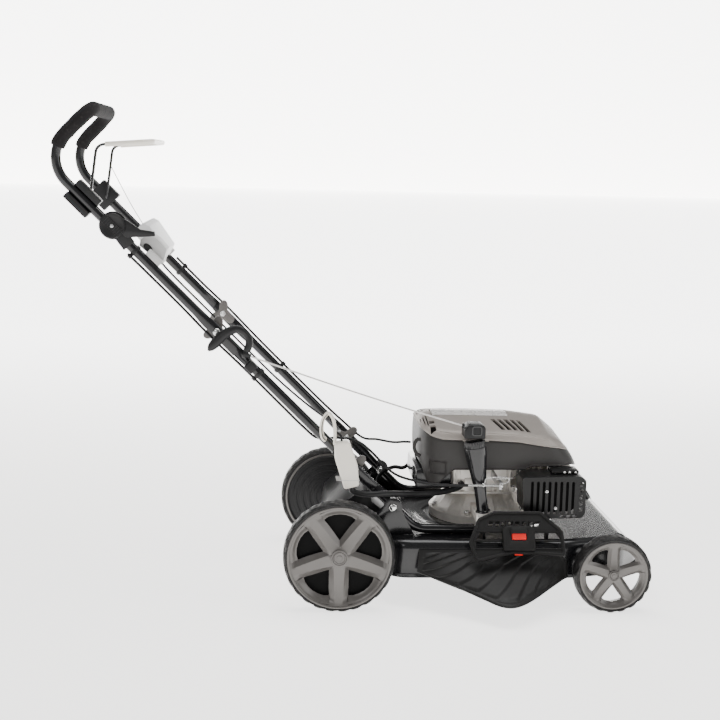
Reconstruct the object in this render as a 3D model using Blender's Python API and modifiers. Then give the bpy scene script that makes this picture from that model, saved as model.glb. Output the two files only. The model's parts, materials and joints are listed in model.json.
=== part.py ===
"""Petrol lawn mower, in metres: +X the way it mows, +Y its left side, +Z up.

Every piece is modelled in a working frame whose X is measured from the rear axle, whose Y is
measured from the mower's centre plane and whose Z is measured from the ground. One empty then
moves the whole mower so that the middle of its box stands on the world's origin.
"""

import math

import bmesh
import bpy
import numpy as np
from mathutils import Matrix, Vector

# Clearances
GAP = 0.0003            # between pieces that touch
RUN = 0.0005            # between pieces that turn or slide on each other
SHAFT_PLAY = 0.0005     # on the radius of a bore round a turned pin

# Wheels
REAR_WHEEL_RADIUS = 0.127
FRONT_WHEEL_RADIUS = 0.089
REAR_FACE_Y = 0.296
FRONT_FACE_Y = 0.303
WHEEL_WIDTH = 0.0475
BEAD_INSET = 0.0045     # of the tyre's bead behind the rim's lip
REAR_TYRE_DEPTH = 0.0110
FRONT_TYRE_DEPTH = 0.0125
REAR_WHEEL_SIDES = 24
FRONT_WHEEL_SIDES = 20
WHEELBASE = 0.627
AXLE_RADIUS = 0.006
HUB_RADIUS = 0.017
CAP_RADIUS = 0.018
SPOKES = 5
REAR_SPOKE = 0.024
FRONT_SPOKE = 0.018
WINDOW_RIM = 0.012      # between a window and the tyre's seat
WINDOW_START = 0.32     # of the wheel's radius
WINDOW_CORNER = 5.0     # degrees cut from a window's outer corners

# Deck
DECK_TOP = 0.154
DECK_RIM = 0.068
DECK_WALL = 0.0025
DECK_FLARE = 0.006
DECK_HALF_WIDTH = 0.245
DECK_REAR = 0.112
DECK_NOSE = 0.7295
NOSE_RUN = 0.0539       # of the top's turned-down front
NOSE_SLOPE = 0.984
NOSE_SHARE = 0.12       # of the way from the rounded edge to the crank hole, where the break lies
CRANK_X = 0.360
DECK_POINTS = 40
CRANK_HOLE = 0.050
SHOULDER_BACK = 0.1945  # from the nose to where each side starts to draw in
CHEEK_BACK = 0.0695     # from the nose to where it draws in more
CHEEK_IN = 0.033        # of that place inside the deck's half width
NOSE_HALF_WIDTH = 0.120
DECK_RADII = [0.0, 0.050, 0.120, 0.090, 0.070, 0.0]
OUTLET_HALF_WIDTH = 0.140
OUTLET_LIP = 0.012      # of wall left round the rear and side outlets
SIDE_OUTLET_X = (0.315, 0.505)
BRACKET_WALL = 0.003
COLLAR_IN = 0.0205      # of the front axle's collars inside the deck's half width
COLLAR_WALL = 0.004
AXLE_END = 0.010        # of an axle's end behind the wheel's face

# Rear outlet and its flap
TUNNEL_INNER = 0.1515
TUNNEL_OUTER = 0.1545
FLAP_PIN = (0.0660, 0.2405)
PIN_RADIUS = 0.003
FLAP_WALL = 0.0025
KNUCKLE_RADIUS = 0.0058

# Handle
TUBE_RADIUS = 0.011
TUBE_Y = 0.181
UPPER_JOINT = (-0.282, 0.6225)
LOWER_JOINT = (0.037, 0.3084)
BRACKET_BOLT = (0.127, 0.2190)
GRIP_BAR = (-0.561, 1.112)
GRIP_LEG = (0.697, 0.717)          # direction of the handle's last leg
GRIP_BEND = 0.075
CORNER_BEND = 0.045
OVERLAP_BELOW = 0.065              # how far a tube runs on below its joint
OVERLAP_ABOVE = 0.025              # how far the next tube runs on above it
CRUSH_LENGTH = 0.045
CRUSH_WIDEN = 1.15
FRAME_BEND = 0.060
FRAME_END_X = 0.321
FOAM_RADIUS = 0.016
BOLT_RADIUS = 0.004
DOME_RADIUS = 0.0085
DOME_HEIGHT = 0.006
KNOB_DEPTH = 0.013
KNOB_REACH = 0.034
BRACKET_INNER = TUBE_Y + TUBE_RADIUS + RUN
BRACKET_OUTER = BRACKET_INNER + BRACKET_WALL

# Bail
BAIL_ROD = 0.00325
BAIL_Y = 0.150
BAIL_PIN_END = 0.177
BAIL_PIVOT_RUN = 0.4024            # along the tube from the upper joint
BAIL_RISE = (-0.552, 1.033)
BAIL_REACH = (-0.430, 1.043)
SLEEVE_RADIUS = 0.0058
SLEEVE_START = 0.026               # ahead of the rod's upper corner

# Engine
SHROUD_BACK = 0.195
SHROUD_FRONT = 0.580
SEAM_FRONT = 0.558
SHROUD_HALF_WIDTH = 0.150
SHROUD_WALL = 0.0025
CASING_POINTS = 28
CASING_SQUARENESS = 5.0
SHROUD_LINES = {        # height along X
    "edge": [(0.200, 0.303), (0.212, 0.262), (0.240, 0.262), (0.272, 0.297), (0.440, 0.299), (0.460, 0.307),
             (0.560, 0.306), (0.580, 0.298)],
    "seam": [(0.200, 0.386), (0.220, 0.374), (0.245, 0.369), (0.350, 0.369), (0.426, 0.365), (0.527, 0.347),
             (0.558, 0.336)],
    "top": [(0.200, 0.399), (0.215, 0.409), (0.240, 0.413), (0.420, 0.411), (0.4955, 0.402), (0.533, 0.373),
            (0.558, 0.338)],
}
COVER_FALL = 0.60            # how far the cover's top falls off to both sides
COVER_FLAT = 0.14            # share of its half width that stays nearly level
COVER_RINGS = [(1.0, 0.0), (1.0, 0.10), (0.950, 0.76), (0.82, 0.94), (0.55, 1.0), (0.15, 1.0)]
ROPE_OUTLET_X = 0.287
CASE_FLOOR = 0.2250
CASE_TOP = 0.3020
CRANK_BORE = 0.0130
CASE_BACK = 0.276
CASE_FRONT = 0.424
CASE_HALF_WIDTH = 0.088
CYLINDER_HALF_WIDTH = 0.042
CYLINDER_TOP = 0.284
CYLINDER_FRONT = 0.545
HEAD_FRONT = 0.575
HEAD_HALF_WIDTH = 0.056
FIN_START = 0.446
FIN_WALL = 0.004
FIN_TOP = 0.294
FIN_HALF_WIDTH = 0.060
FIN_COUNT = 6
FIN_STEP = 0.0165
CONTROL_Y = -0.2035
CONTROL_Z = 0.2745
CONTROL_START = 0.254
CONTROL_END = 0.375
FILLER_Y = -(SHROUD_HALF_WIDTH + 0.028)
FILLER_FOOT = 0.205
MUFFLER_FACE = -0.200
MUFFLER_BACK = -0.112
INTAKE_Y = 0.112        # between the carburettor and the air filter
SLOT_COUNT = 7
SLOT_STEP = 0.0165
TANK_FLOOR = 0.240
NECK = (0.245, SHROUD_HALF_WIDTH + 0.026)
NECK_TOP = 0.335
FLYWHEEL_TOP = 0.344
BASE_RADIUS = 0.124
SHAFT_RADIUS = 0.0125
BLADE_LENGTH = 0.466
BLADE_WIDTH = 0.052
BLADE_THICKNESS = 0.0035
BLADE_Z = 0.0770
BLADE_TOP = BLADE_Z + BLADE_THICKNESS
ADAPTER_FLOOR = BLADE_TOP + 0.0035
CRANK_PIVOT = (CRANK_X, 0.0, 0.0)

# Side discharge
SIDE_PIN = (0.015 - DECK_HALF_WIDTH, 0.2000)
FLAP_DOWN = (-0.586, -0.810)       # down the side flap, in Y and Z
FLAP_STAND = 0.0125                # of the flap's face from its pin's axis
SIDE_FLAP_WALL = 0.0045
KNUCKLES = [(0.345, 0.372), (0.398, 0.426), (0.452, 0.479)]
EAR_X = [0.336, 0.385, 0.439, 0.484]
EAR_WALL = 0.004
LATCH = (0.394, 0.426, 0.030, 0.054)    # low and high along X, then down the flap
CHUTE_WALL = 0.003
CHUTE_SEAT_Y = -(DECK_HALF_WIDTH + GAP + CHUTE_WALL / 2 + 0.0001)
CHUTE_ROWS = [          # X, distance out from the seat, Z: the seat, the shoulder and the hem
    [(0.185, 0.0, 0.134), (0.300, 0.0, 0.134), (0.420, 0.0, 0.134), (0.505, 0.0, 0.134)],
    [(0.182, 0.0091, 0.112), (0.300, 0.0251, 0.108), (0.410, 0.0291, 0.106), (0.527, 0.0091, 0.108)],
    [(0.180, 0.0151, 0.085), (0.290, 0.0831, 0.060), (0.385, 0.1461, 0.047), (0.527, 0.0171, 0.075)],
]

# Handle's fittings
THROTTLE = (-0.5115, 0.8575)
THROTTLE_RADIUS = 0.031
CONSOLE_STEP = -0.090
STARTER_Y = -0.2135
PACK_Y = (-0.2425, -0.2025)
ROPE_START = (-0.2040, 0.5710)
ROPE_SAG = 0.004
CABLE_RADIUS = 0.003
CABLE_END = 0.0030      # of the brake cable's end, ahead of the casing's rearmost line
CABLE_STEPS = 2

SIDES = {-1: "right", 1: "left"}
UPPER_PIVOT = (UPPER_JOINT[0], 0.0, UPPER_JOINT[1])
LOWER_PIVOT = (LOWER_JOINT[0], 0.0, LOWER_JOINT[1])


def direction(a, b):
    """Unit vector from point a to point b, both (x, z)."""
    dx, dz = b[0] - a[0], b[1] - a[1]
    length = math.hypot(dx, dz)
    return dx / length, dz / length


HANDLE_LINE = direction(UPPER_JOINT, LOWER_JOINT)
LOWER_RUN = math.dist(UPPER_JOINT, LOWER_JOINT)


def on_handle(run, below=0.0):
    """Point (x, z) on the handle's straight line, a run down it from the upper joint and
    a distance below it on its ground side."""
    dx, dz = HANDLE_LINE
    return (UPPER_JOINT[0] + run * dx + below * dz, UPPER_JOINT[1] + run * dz - below * dx)


def start_empty():
    for old in list(bpy.data.objects):
        bpy.data.objects.remove(old, do_unlink=True)


start_empty()
PARTS = bpy.data.collections.new("petrol_lawn_mower")
TOOLS = bpy.data.collections.new("cutters")
bpy.context.scene.collection.children.link(PARTS)
bpy.context.scene.collection.children.link(TOOLS)
ROOT = bpy.data.objects.new("mower_frame", None)
PARTS.objects.link(ROOT)

# Finishes: colour, roughness, metallic
FINISHES = {
    "black_enamel": ((0.012, 0.012, 0.013), 0.22, 0.3),
    "black_plastic": ((0.020, 0.020, 0.021), 0.50, 0.0),
    "tyre_rubber": ((0.016, 0.015, 0.015), 0.75, 0.0),
    "rim_grey": ((0.150, 0.135, 0.122), 0.42, 0.3),
    "cover_grey": ((0.175, 0.165, 0.152), 0.40, 0.2),
    "shroud_dark": ((0.045, 0.043, 0.043), 0.40, 0.1),
    "cast_alloy": ((0.420, 0.400, 0.370), 0.45, 0.9),
    "bright_steel": ((0.620, 0.620, 0.610), 0.25, 1.0),
    "foam_black": ((0.018, 0.017, 0.017), 0.95, 0.0),
    "cream_sleeve": ((0.820, 0.780, 0.680), 0.45, 0.0),
    "pale_grey": ((0.560, 0.560, 0.550), 0.50, 0.0),
    "knob_grey": ((0.200, 0.190, 0.180), 0.50, 0.0),
    "signal_red": ((0.620, 0.020, 0.015), 0.35, 0.0),
    "rope_white": ((0.640, 0.620, 0.590), 0.80, 0.0),
}


def finish(obj, look):
    """Gives a piece its own material of one of the finishes."""
    colour, roughness, metallic = FINISHES[look]
    material = bpy.data.materials.new(obj.name + "_" + look)
    material.use_nodes = True
    shader = material.node_tree.nodes["Principled BSDF"]
    shader.inputs["Base Color"].default_value = (*colour, 1.0)
    shader.inputs["Roughness"].default_value = roughness
    shader.inputs["Metallic"].default_value = metallic
    obj.data.materials.clear()
    obj.data.materials.append(material)


def add_piece(obj, look, pivot=(0.0, 0.0, 0.0)):
    """Puts a piece in the mower, with its origin on its joint's axis."""
    for held in list(obj.users_collection):
        held.objects.unlink(obj)
    PARTS.objects.link(obj)
    world = obj.matrix_world.copy()
    obj.parent = ROOT
    if any(pivot):
        obj.data.transform(Matrix.Translation(-Vector(pivot)) @ world)
        obj.location = pivot
        obj.rotation_euler = (0.0, 0.0, 0.0)
    finish(obj, look)
    return obj


def add_tool(obj):
    """Keeps a cutter out of the model."""
    for held in list(obj.users_collection):
        held.objects.unlink(obj)
    TOOLS.objects.link(obj)
    obj.parent = ROOT
    obj.hide_render = True
    obj.display_type = "WIRE"
    return obj


def mesh_object(name, work):
    """New object from a bmesh, which is freed."""
    mesh = bpy.data.meshes.new(name)
    bmesh.ops.recalc_face_normals(work, faces=work.faces)
    work.to_mesh(mesh)
    work.free()
    obj = bpy.data.objects.new(name, mesh)
    bpy.context.scene.collection.objects.link(obj)
    return obj


def smooth(obj, angle=40.0):
    obj.data.shade_smooth()
    obj.data.set_sharp_from_angle(angle=math.radians(angle))
    return obj


def add_box(work, low, high):
    """Adds a box between two corners to a bmesh."""
    low, high = Vector(low), Vector(high)
    place = Matrix.Translation((low + high) / 2) @ Matrix.Diagonal((*(high - low), 1.0))
    return bmesh.ops.create_cube(work, size=1.0, matrix=place)["verts"]


AXES = {
    "X": Matrix.Rotation(math.pi / 2, 4, "Y"),
    "Y": Matrix.Rotation(-math.pi / 2, 4, "X"),
    "Z": Matrix.Identity(4),
}


def add_rod(work, start, end, radius, sides=16, end_radius=None):
    """Adds a rod, or a cone, from start to end to a bmesh."""
    start, end = Vector(start), Vector(end)
    along = end - start
    turn = along.to_track_quat("Z", "Y").to_matrix().to_4x4()
    place = Matrix.Translation((start + end) / 2) @ turn
    other = radius if end_radius is None else end_radius
    return bmesh.ops.create_cone(
        work, cap_ends=True, segments=sides, radius1=radius, radius2=other,
        depth=along.length, matrix=place)["verts"]


def rod_object(name, start, end, radius, sides=16):
    work = bmesh.new()
    add_rod(work, start, end, radius, sides)
    return mesh_object(name, work)


def rod_across(name, at, radius, reach=0.25, sides=12):
    """Rod across the mower at a point (x, z), as far to one side as to the other."""
    return rod_object(name, (at[0], -reach, at[1]), (at[0], reach, at[1]), radius, sides)


def box_object(name, low, high):
    work = bmesh.new()
    add_box(work, low, high)
    return mesh_object(name, work)


def bevel(obj, width, segments=2, angle=30.0):
    """Rounds a piece's edges."""
    mod = obj.modifiers.new("rounded_edges", "BEVEL")
    mod.width = width
    mod.segments = segments
    mod.limit_method = "ANGLE"
    mod.angle_limit = math.radians(angle)
    return obj


def combine(obj, other, operation):
    """Boolean of one piece with another that is kept as a cutter."""
    add_tool(other)
    mod = obj.modifiers.new(operation.lower(), "BOOLEAN")
    mod.operation = operation
    mod.solver = "EXACT"
    mod.object = other
    return obj


def cut(obj, other):
    return combine(obj, other, "DIFFERENCE")


def unite(obj, other):
    return combine(obj, other, "UNION")


def turned(name, profile, sides, place=Matrix.Identity(4)):
    """Turned shape about local Z: profile of (radius, height) down its outer side."""
    mesh = bpy.data.meshes.new(name)
    points = [(r, 0.0, h) for r, h in profile]
    closed = profile[0][0] > 0.0 or profile[-1][0] > 0.0
    edges = [(i, i + 1) for i in range(len(points) - 1)]
    if closed:
        edges.append((len(points) - 1, 0))
    mesh.from_pydata(points, edges, [])
    obj = bpy.data.objects.new(name, mesh)
    bpy.context.scene.collection.objects.link(obj)
    mod = obj.modifiers.new("turned", "SCREW")
    mod.axis = "Z"
    mod.steps = sides
    mod.render_steps = sides
    mod.use_merge_vertices = True
    mod.merge_threshold = 0.00001
    return settle(obj, place)


def settle(obj, place=Matrix.Identity(4)):
    """The evaluated mesh of an object, welded, in place of the object."""
    bpy.context.view_layer.update()
    graph = bpy.context.evaluated_depsgraph_get()
    mesh = bpy.data.meshes.new_from_object(obj.evaluated_get(graph))
    mesh.transform(place @ obj.matrix_world)
    work = bmesh.new()
    work.from_mesh(mesh)
    bmesh.ops.remove_doubles(work, verts=work.verts, dist=0.000002)
    bmesh.ops.dissolve_degenerate(work, edges=work.edges, dist=0.000002)
    bmesh.ops.recalc_face_normals(work, faces=work.faces)
    work.to_mesh(mesh)
    work.free()
    name = obj.name
    bpy.data.objects.remove(obj, do_unlink=True)
    fresh = bpy.data.objects.new(name, mesh)
    bpy.context.scene.collection.objects.link(fresh)
    return fresh


def facing(side):
    """Turn that takes local Z to the mower's side: +1 left, -1 right."""
    return Matrix.Rotation(-side * math.pi / 2, 4, "X")


def tube(name, points, radius, resolution=3, radii=None):
    """Round tube or wire along points."""
    curve = bpy.data.curves.new(name, "CURVE")
    curve.dimensions = "3D"
    curve.bevel_depth = radius
    curve.bevel_resolution = resolution
    curve.use_fill_caps = True
    spline = curve.splines.new("POLY")
    spline.points.add(len(points) - 1)
    for i, point in enumerate(points):
        spline.points[i].co = (*point, 1.0)
        spline.points[i].radius = 1.0 if radii is None else radii[i]
    obj = bpy.data.objects.new(name, curve)
    bpy.context.scene.collection.objects.link(obj)
    return obj


def plate(name, outlines, low_y, high_y):
    """Flat piece in the XZ plane between two Y values: first outline outside, others holes."""
    curve = bpy.data.curves.new(name, "CURVE")
    curve.dimensions = "2D"
    curve.fill_mode = "BOTH"
    curve.extrude = (high_y - low_y) / 2
    for outline in outlines:
        spline = curve.splines.new("POLY")
        spline.points.add(len(outline) - 1)
        for i, (x, z) in enumerate(outline):
            spline.points[i].co = (x, z, 0.0, 1.0)
        spline.use_cyclic_u = True
    obj = bpy.data.objects.new(name, curve)
    bpy.context.scene.collection.objects.link(obj)
    place = Matrix.Translation((0.0, (low_y + high_y) / 2, 0.0))
    return settle(obj, place @ Matrix.Rotation(math.pi / 2, 4, "X"))


def flat(name, outlines, low_z, high_z):
    """Flat piece in the XY plane between two heights."""
    upright = plate(name, outlines, low_z, high_z)
    upright.data.transform(Matrix.Scale(-1.0, 4, (0.0, 1.0, 0.0)))
    upright.data.transform(Matrix.Rotation(-math.pi / 2, 4, "X"))
    upright.data.flip_normals()
    return upright


def arc(centre, radius, start, end, steps):
    """Points on an arc in a plane, in degrees, both ends included."""
    turn = [math.radians(start + (end - start) * i / steps) for i in range(steps + 1)]
    return [(centre[0] + radius * math.cos(a), centre[1] + radius * math.sin(a)) for a in turn]


def circle(centre, radius, sides=16):
    return arc(centre, radius, 0.0, 360.0 - 360.0 / sides, sides - 1)


def rounded_path(points, radii, steps=5, closed=False):
    """Path whose inner corners are arcs of the given radii."""
    points = [Vector(p) for p in points]
    count = len(points)
    path = []
    for i, here in enumerate(points):
        if not closed and i in (0, count - 1):
            path.append(here)
            continue
        before, after = points[i - 1], points[(i + 1) % count]
        back, on = (before - here).normalized(), (after - here).normalized()
        bend = back.angle(on)
        if radii[i] <= 0.0 or bend > math.pi - 0.001:
            path.append(here)
            continue
        reach = radii[i] / math.tan(bend / 2)
        middle = here + (back + on).normalized() * (radii[i] / math.sin(bend / 2))
        first, last = here + back * reach - middle, here + on * reach - middle
        sweep = first.angle(last)
        for k in range(steps + 1):
            t = k / steps
            a, b = math.sin((1 - t) * sweep), math.sin(t * sweep)
            path.append(middle + (first * a + last * b) / math.sin(sweep))
    return path


def smooth_route(points, pieces):
    """Smooth curve through the points, with a number of pieces between each two."""
    points = [Vector(p) for p in points]
    padded = [points[0] * 2 - points[1], *points, points[-1] * 2 - points[-2]]
    route = []
    for i in range(1, len(padded) - 2):
        a, b, c, d = padded[i - 1:i + 3]
        for k in range(pieces):
            t = k / pieces
            route.append(
                (b * 2 + (c - a) * t + (a * 2 - b * 5 + c * 4 - d) * t ** 2
                 + (b * 3 - a - c * 3 + d) * t ** 3) / 2)
    route.append(points[-1])
    return route


def loft(name, rings, cap_start=True, cap_end=True):
    """Skin over closed rings of equally many points."""
    work = bmesh.new()
    rows = [[work.verts.new(p) for p in ring] for ring in rings]
    for row, following in zip(rows, rows[1:]):
        for i in range(len(row)):
            j = (i + 1) % len(row)
            work.faces.new((row[i], row[j], following[j], following[i]))
    if cap_start:
        work.faces.new(rows[0])
    if cap_end:
        work.faces.new(rows[-1])
    return mesh_object(name, work)


def thicken(obj, wall, outward=-1.0):
    """Gives an open surface its wall."""
    mod = obj.modifiers.new("wall", "SOLIDIFY")
    mod.thickness = wall
    mod.offset = outward
    mod.use_even_offset = True
    mod.use_rim = True
    return obj


def blend_between(value, low, high):
    """Smooth step from 0 at low to 1 at high."""
    t = min(1.0, max(0.0, (value - low) / (high - low)))
    return t * t * (3.0 - 2.0 * t)


# Wheels
def tyre_profile(radius, depth):
    """Section of a tyre over its bead, from the outer face inwards."""
    bead = radius - depth + GAP
    shoulder = 0.35 * depth
    return [
        (bead, WHEEL_WIDTH - BEAD_INSET), (bead + 0.003, WHEEL_WIDTH - BEAD_INSET),
        (radius - shoulder, WHEEL_WIDTH - 0.001),
        (radius, WHEEL_WIDTH - 2 * shoulder), (radius, 2 * shoulder),
        (radius - shoulder, 0.001), (bead, 0.003),
    ]


def rim_profile(radius, depth, closed_back):
    """Section of a rim with its moulded cap: outer face first, then the bore."""
    seat = radius - depth
    lip = seat + 0.0025
    barrel = seat - 0.006
    web_back = 0.019 if closed_back else 0.027
    return [
        (0.0, WHEEL_WIDTH), (CAP_RADIUS, WHEEL_WIDTH - 0.001), (CAP_RADIUS + 0.006, WHEEL_WIDTH - 0.005),
        (barrel, WHEEL_WIDTH - 0.0135), (barrel + 0.002, WHEEL_WIDTH - 0.002),
        (lip, WHEEL_WIDTH - 0.002), (lip, WHEEL_WIDTH - BEAD_INSET + GAP),
        (seat, WHEEL_WIDTH - BEAD_INSET + GAP),
        (seat, 0.002), (barrel, 0.002), (barrel, web_back), (HUB_RADIUS, web_back),
        (HUB_RADIUS, 0.0), (AXLE_RADIUS + SHAFT_PLAY, 0.0),
        (AXLE_RADIUS + SHAFT_PLAY, WHEEL_WIDTH - 0.010), (0.0, WHEEL_WIDTH - 0.010),
    ]


def window_outline(radius, depth, spoke, middle):
    """Rounded triangle between two spokes whose sides run parallel."""
    outer = radius - depth - WINDOW_RIM
    inner = WINDOW_START * radius

    def half_angle(at):
        return 180.0 / SPOKES - math.degrees(math.asin(spoke / 2 / at))

    wide = half_angle(outer) - WINDOW_CORNER
    near = inner + 0.005
    return [
        *arc((0.0, 0.0), outer, middle - wide, middle + wide, 4),
        *arc((0.0, 0.0), outer - 0.008, middle + half_angle(outer - 0.008), middle, 1)[:1],
        *arc((0.0, 0.0), near, middle + half_angle(near), middle, 1)[:1],
        *arc((0.0, 0.0), inner, middle + 5.0, middle - 5.0, 1),
        *arc((0.0, 0.0), near, middle - half_angle(near), middle, 1)[:1],
        *arc((0.0, 0.0), outer - 0.008, middle - half_angle(outer - 0.008), middle, 1)[:1],
    ]


def wheel(end, side):
    """Tyre and rim of one wheel on their axle line."""
    rear = end == "rear"
    radius = REAR_WHEEL_RADIUS if rear else FRONT_WHEEL_RADIUS
    depth = REAR_TYRE_DEPTH if rear else FRONT_TYRE_DEPTH
    face = REAR_FACE_Y if rear else FRONT_FACE_Y
    sides = REAR_WHEEL_SIDES if rear else FRONT_WHEEL_SIDES
    axle_x = 0.0 if rear else WHEELBASE
    pivot = (axle_x, side * (face - WHEEL_WIDTH), radius)
    place = Matrix.Translation(pivot) @ facing(side)
    tyre = turned(f"tyre_{end}_{SIDES[side]}", tyre_profile(radius, depth), sides, place)
    add_piece(smooth(tyre), "tyre_rubber", pivot)
    rim = turned(f"rim_{end}_{SIDES[side]}", rim_profile(radius, depth, rear), sides, place)
    floor = 0.021 if rear else 0.015
    spoke = REAR_SPOKE if rear else FRONT_SPOKE
    first = -90.0 if rear else 90.0
    middles = [first + 360.0 / SPOKES * (n + 0.5) for n in range(SPOKES)]
    outlines = [window_outline(radius, depth, spoke, middle) for middle in middles]
    windows = flat(f"windows_{end}_{SIDES[side]}", outlines, floor, WHEEL_WIDTH + 0.01)
    windows.data.transform(place)
    cut(rim, windows)
    add_piece(smooth(rim), "rim_grey", pivot)


def axles():
    """Rear and front axle rods, each with its two collars between chassis and wheel."""
    for name, axle_x, height, face, stop in (
            ("rear_axle", 0.0, REAR_WHEEL_RADIUS, REAR_FACE_Y, BRACKET_OUTER + RUN),
            ("front_axle", WHEELBASE, FRONT_WHEEL_RADIUS, FRONT_FACE_Y, DECK_HALF_WIDTH - COLLAR_IN)):
        reach = face - AXLE_END - RUN
        wheel_back = face - WHEEL_WIDTH - RUN
        collar = AXLE_RADIUS + COLLAR_WALL
        profile = [
            (0.0, reach), (AXLE_RADIUS, reach), (AXLE_RADIUS, wheel_back), (collar, wheel_back),
            (collar, stop), (AXLE_RADIUS, stop), (AXLE_RADIUS, -stop), (collar, -stop),
            (collar, -wheel_back), (AXLE_RADIUS, -wheel_back), (AXLE_RADIUS, -reach), (0.0, -reach),
        ]
        rod = turned(name, profile, 12, Matrix.Translation((axle_x, 0.0, height)) @ facing(1))
        add_piece(smooth(rod), "bright_steel")


# Chassis
def deck_outline():
    """Plan of the deck's wall as equally spaced points round it, against the clock."""
    half = [
        (DECK_REAR, 0.0), (DECK_REAR, -DECK_HALF_WIDTH), (DECK_NOSE - SHOULDER_BACK, -DECK_HALF_WIDTH),
        (DECK_NOSE - CHEEK_BACK, CHEEK_IN - DECK_HALF_WIDTH), (DECK_NOSE, -NOSE_HALF_WIDTH), (DECK_NOSE, 0.0),
    ]
    right = [(p.x, p.y) for p in rounded_path([(x, y, 0.0) for x, y in half], DECK_RADII, 8)]
    left = [(x, -y) for x, y in reversed(right)][1:-1]
    line = right + left
    line = np.array(line + [line[0]])
    run = np.concatenate([[0.0], np.cumsum(np.hypot(*np.diff(line, axis=0).T))])
    at = np.linspace(0.0, run[-1], DECK_POINTS, endpoint=False)
    return np.stack([np.interp(at, run, line[:, 0]), np.interp(at, run, line[:, 1])], axis=1)


def inset(outline, distance):
    """Closed outline moved inwards along its normals."""
    ahead, behind = np.roll(outline, -1, axis=0), np.roll(outline, 1, axis=0)
    along = ahead - behind
    normal = np.stack([-along[:, 1], along[:, 0]], axis=1)
    normal /= np.linalg.norm(normal, axis=1)[:, None]
    return outline + normal * distance


def deck_height(x, height):
    """Height of the deck's skin at x, turned down at the nose."""
    return min(height, DECK_TOP - NOSE_SLOPE * max(0.0, x - (DECK_NOSE - NOSE_RUN)))


def deck():
    wall = deck_outline()
    rings = []
    for distance, height in (
            (-DECK_FLARE, DECK_RIM), (0.0, DECK_RIM + 0.006), (0.0, DECK_TOP - 0.019),
            (0.006, DECK_TOP - 0.006), (0.018, DECK_TOP)):
        ring = inset(wall, distance)
        rings.append([(x, y, deck_height(x, height)) for x, y in ring])
    centre = np.array([CRANK_X, 0.0])
    hole = ring - centre
    hole = centre + hole * (CRANK_HOLE / np.linalg.norm(hole, axis=1))[:, None]
    between = ring + (hole - ring) * NOSE_SHARE
    rings.append([(x, y, deck_height(x, DECK_TOP)) for x, y in between])
    rings.append([(x, y, DECK_TOP) for x, y in hole])
    shell = loft("deck", rings, cap_start=False, cap_end=False)
    thicken(shell, DECK_WALL)
    low = DECK_RIM + OUTLET_LIP
    rear = box_object("deck_rear_opening", (DECK_REAR - 0.03, -OUTLET_HALF_WIDTH, low),
                      (DECK_REAR + 0.03, OUTLET_HALF_WIDTH, DECK_TOP - OUTLET_LIP))
    side = box_object("deck_side_opening", (SIDE_OUTLET_X[0], -DECK_HALF_WIDTH - 0.03, low),
                      (SIDE_OUTLET_X[1], -DECK_HALF_WIDTH + 0.02, DECK_TOP - 0.022))
    bore = rod_across("deck_axle_bore", (WHEELBASE, FRONT_WHEEL_RADIUS), AXLE_RADIUS + SHAFT_PLAY,
                      DECK_HALF_WIDTH + 0.05, 16)
    for tool in (rear, side, bore):
        cut(shell, tool)
    for ear in side_ears():
        unite(shell, ear)
    reach = (EAR_X[0] - 0.003, EAR_X[-1] + EAR_WALL + 0.003)
    unite(shell, rod_object("side_pin", (reach[0], *SIDE_PIN), (reach[1], *SIDE_PIN), PIN_RADIUS, 12))
    add_piece(smooth(shell, 30.0), "black_enamel")


def rear_frame():
    """Moulded outlet behind the deck: two side walls, a sloping roof and the flap's ears."""
    outline = [
        (0.165, DECK_TOP + GAP), (0.080, 0.2218), (0.0765, 0.2490), (0.0555, 0.2490), (0.0220, 0.2240),
        (-0.0160, 0.1890), (-0.0290, 0.1300), (-0.0290, 0.1050), (DECK_REAR - GAP, 0.1050),
        (DECK_REAR - GAP, DECK_TOP + GAP),
    ]
    shell = plate("rear_frame", [outline], -TUNNEL_OUTER, TUNNEL_OUTER)
    hollow = [(0.159, 0.09), (0.159, 0.1556), (0.0755, 0.2220), (0.0735, 0.27), (-0.06, 0.27), (-0.06, 0.09)]
    cut(shell, plate("outlet_hollow", [hollow], -TUNNEL_INNER, TUNNEL_INNER))
    across = TUNNEL_OUTER + 0.02
    cut(shell, rod_across("outlet_axle_bore", (0.0, REAR_WHEEL_RADIUS), AXLE_RADIUS + SHAFT_PLAY, across, 16))
    cut(shell, rod_across("outlet_pin_bore", FLAP_PIN, PIN_RADIUS + GAP, across))
    add_piece(shell, "black_plastic")


def rear_flap():
    """Curved flap that hangs on its pin and closes the rear outlet."""
    line = [(0.0220, 0.2255), (-0.0175, 0.1900), (-0.0310, 0.1300), (-0.0310, 0.1080)]
    front = [(x + FLAP_WALL * 0.55, z - FLAP_WALL * 0.8) for x, z in line[:2]]
    front += [(x + FLAP_WALL, z) for x, z in line[2:]]
    knuckle = arc(FLAP_PIN, KNUCKLE_RADIUS, -120.0, 150.0, 8)
    outline = knuckle + line + list(reversed(front))
    half = TUNNEL_INNER - RUN
    flap = plate("rear_flap", [outline, circle(FLAP_PIN, PIN_RADIUS + SHAFT_PLAY, 12)], -half, half)
    add_piece(flap, "black_plastic", (FLAP_PIN[0], 0.0, FLAP_PIN[1]))


def flap_rod():
    rod = rod_across("flap_rod", FLAP_PIN, PIN_RADIUS, TUNNEL_OUTER + 0.003)
    add_piece(smooth(rod), "bright_steel")


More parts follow.
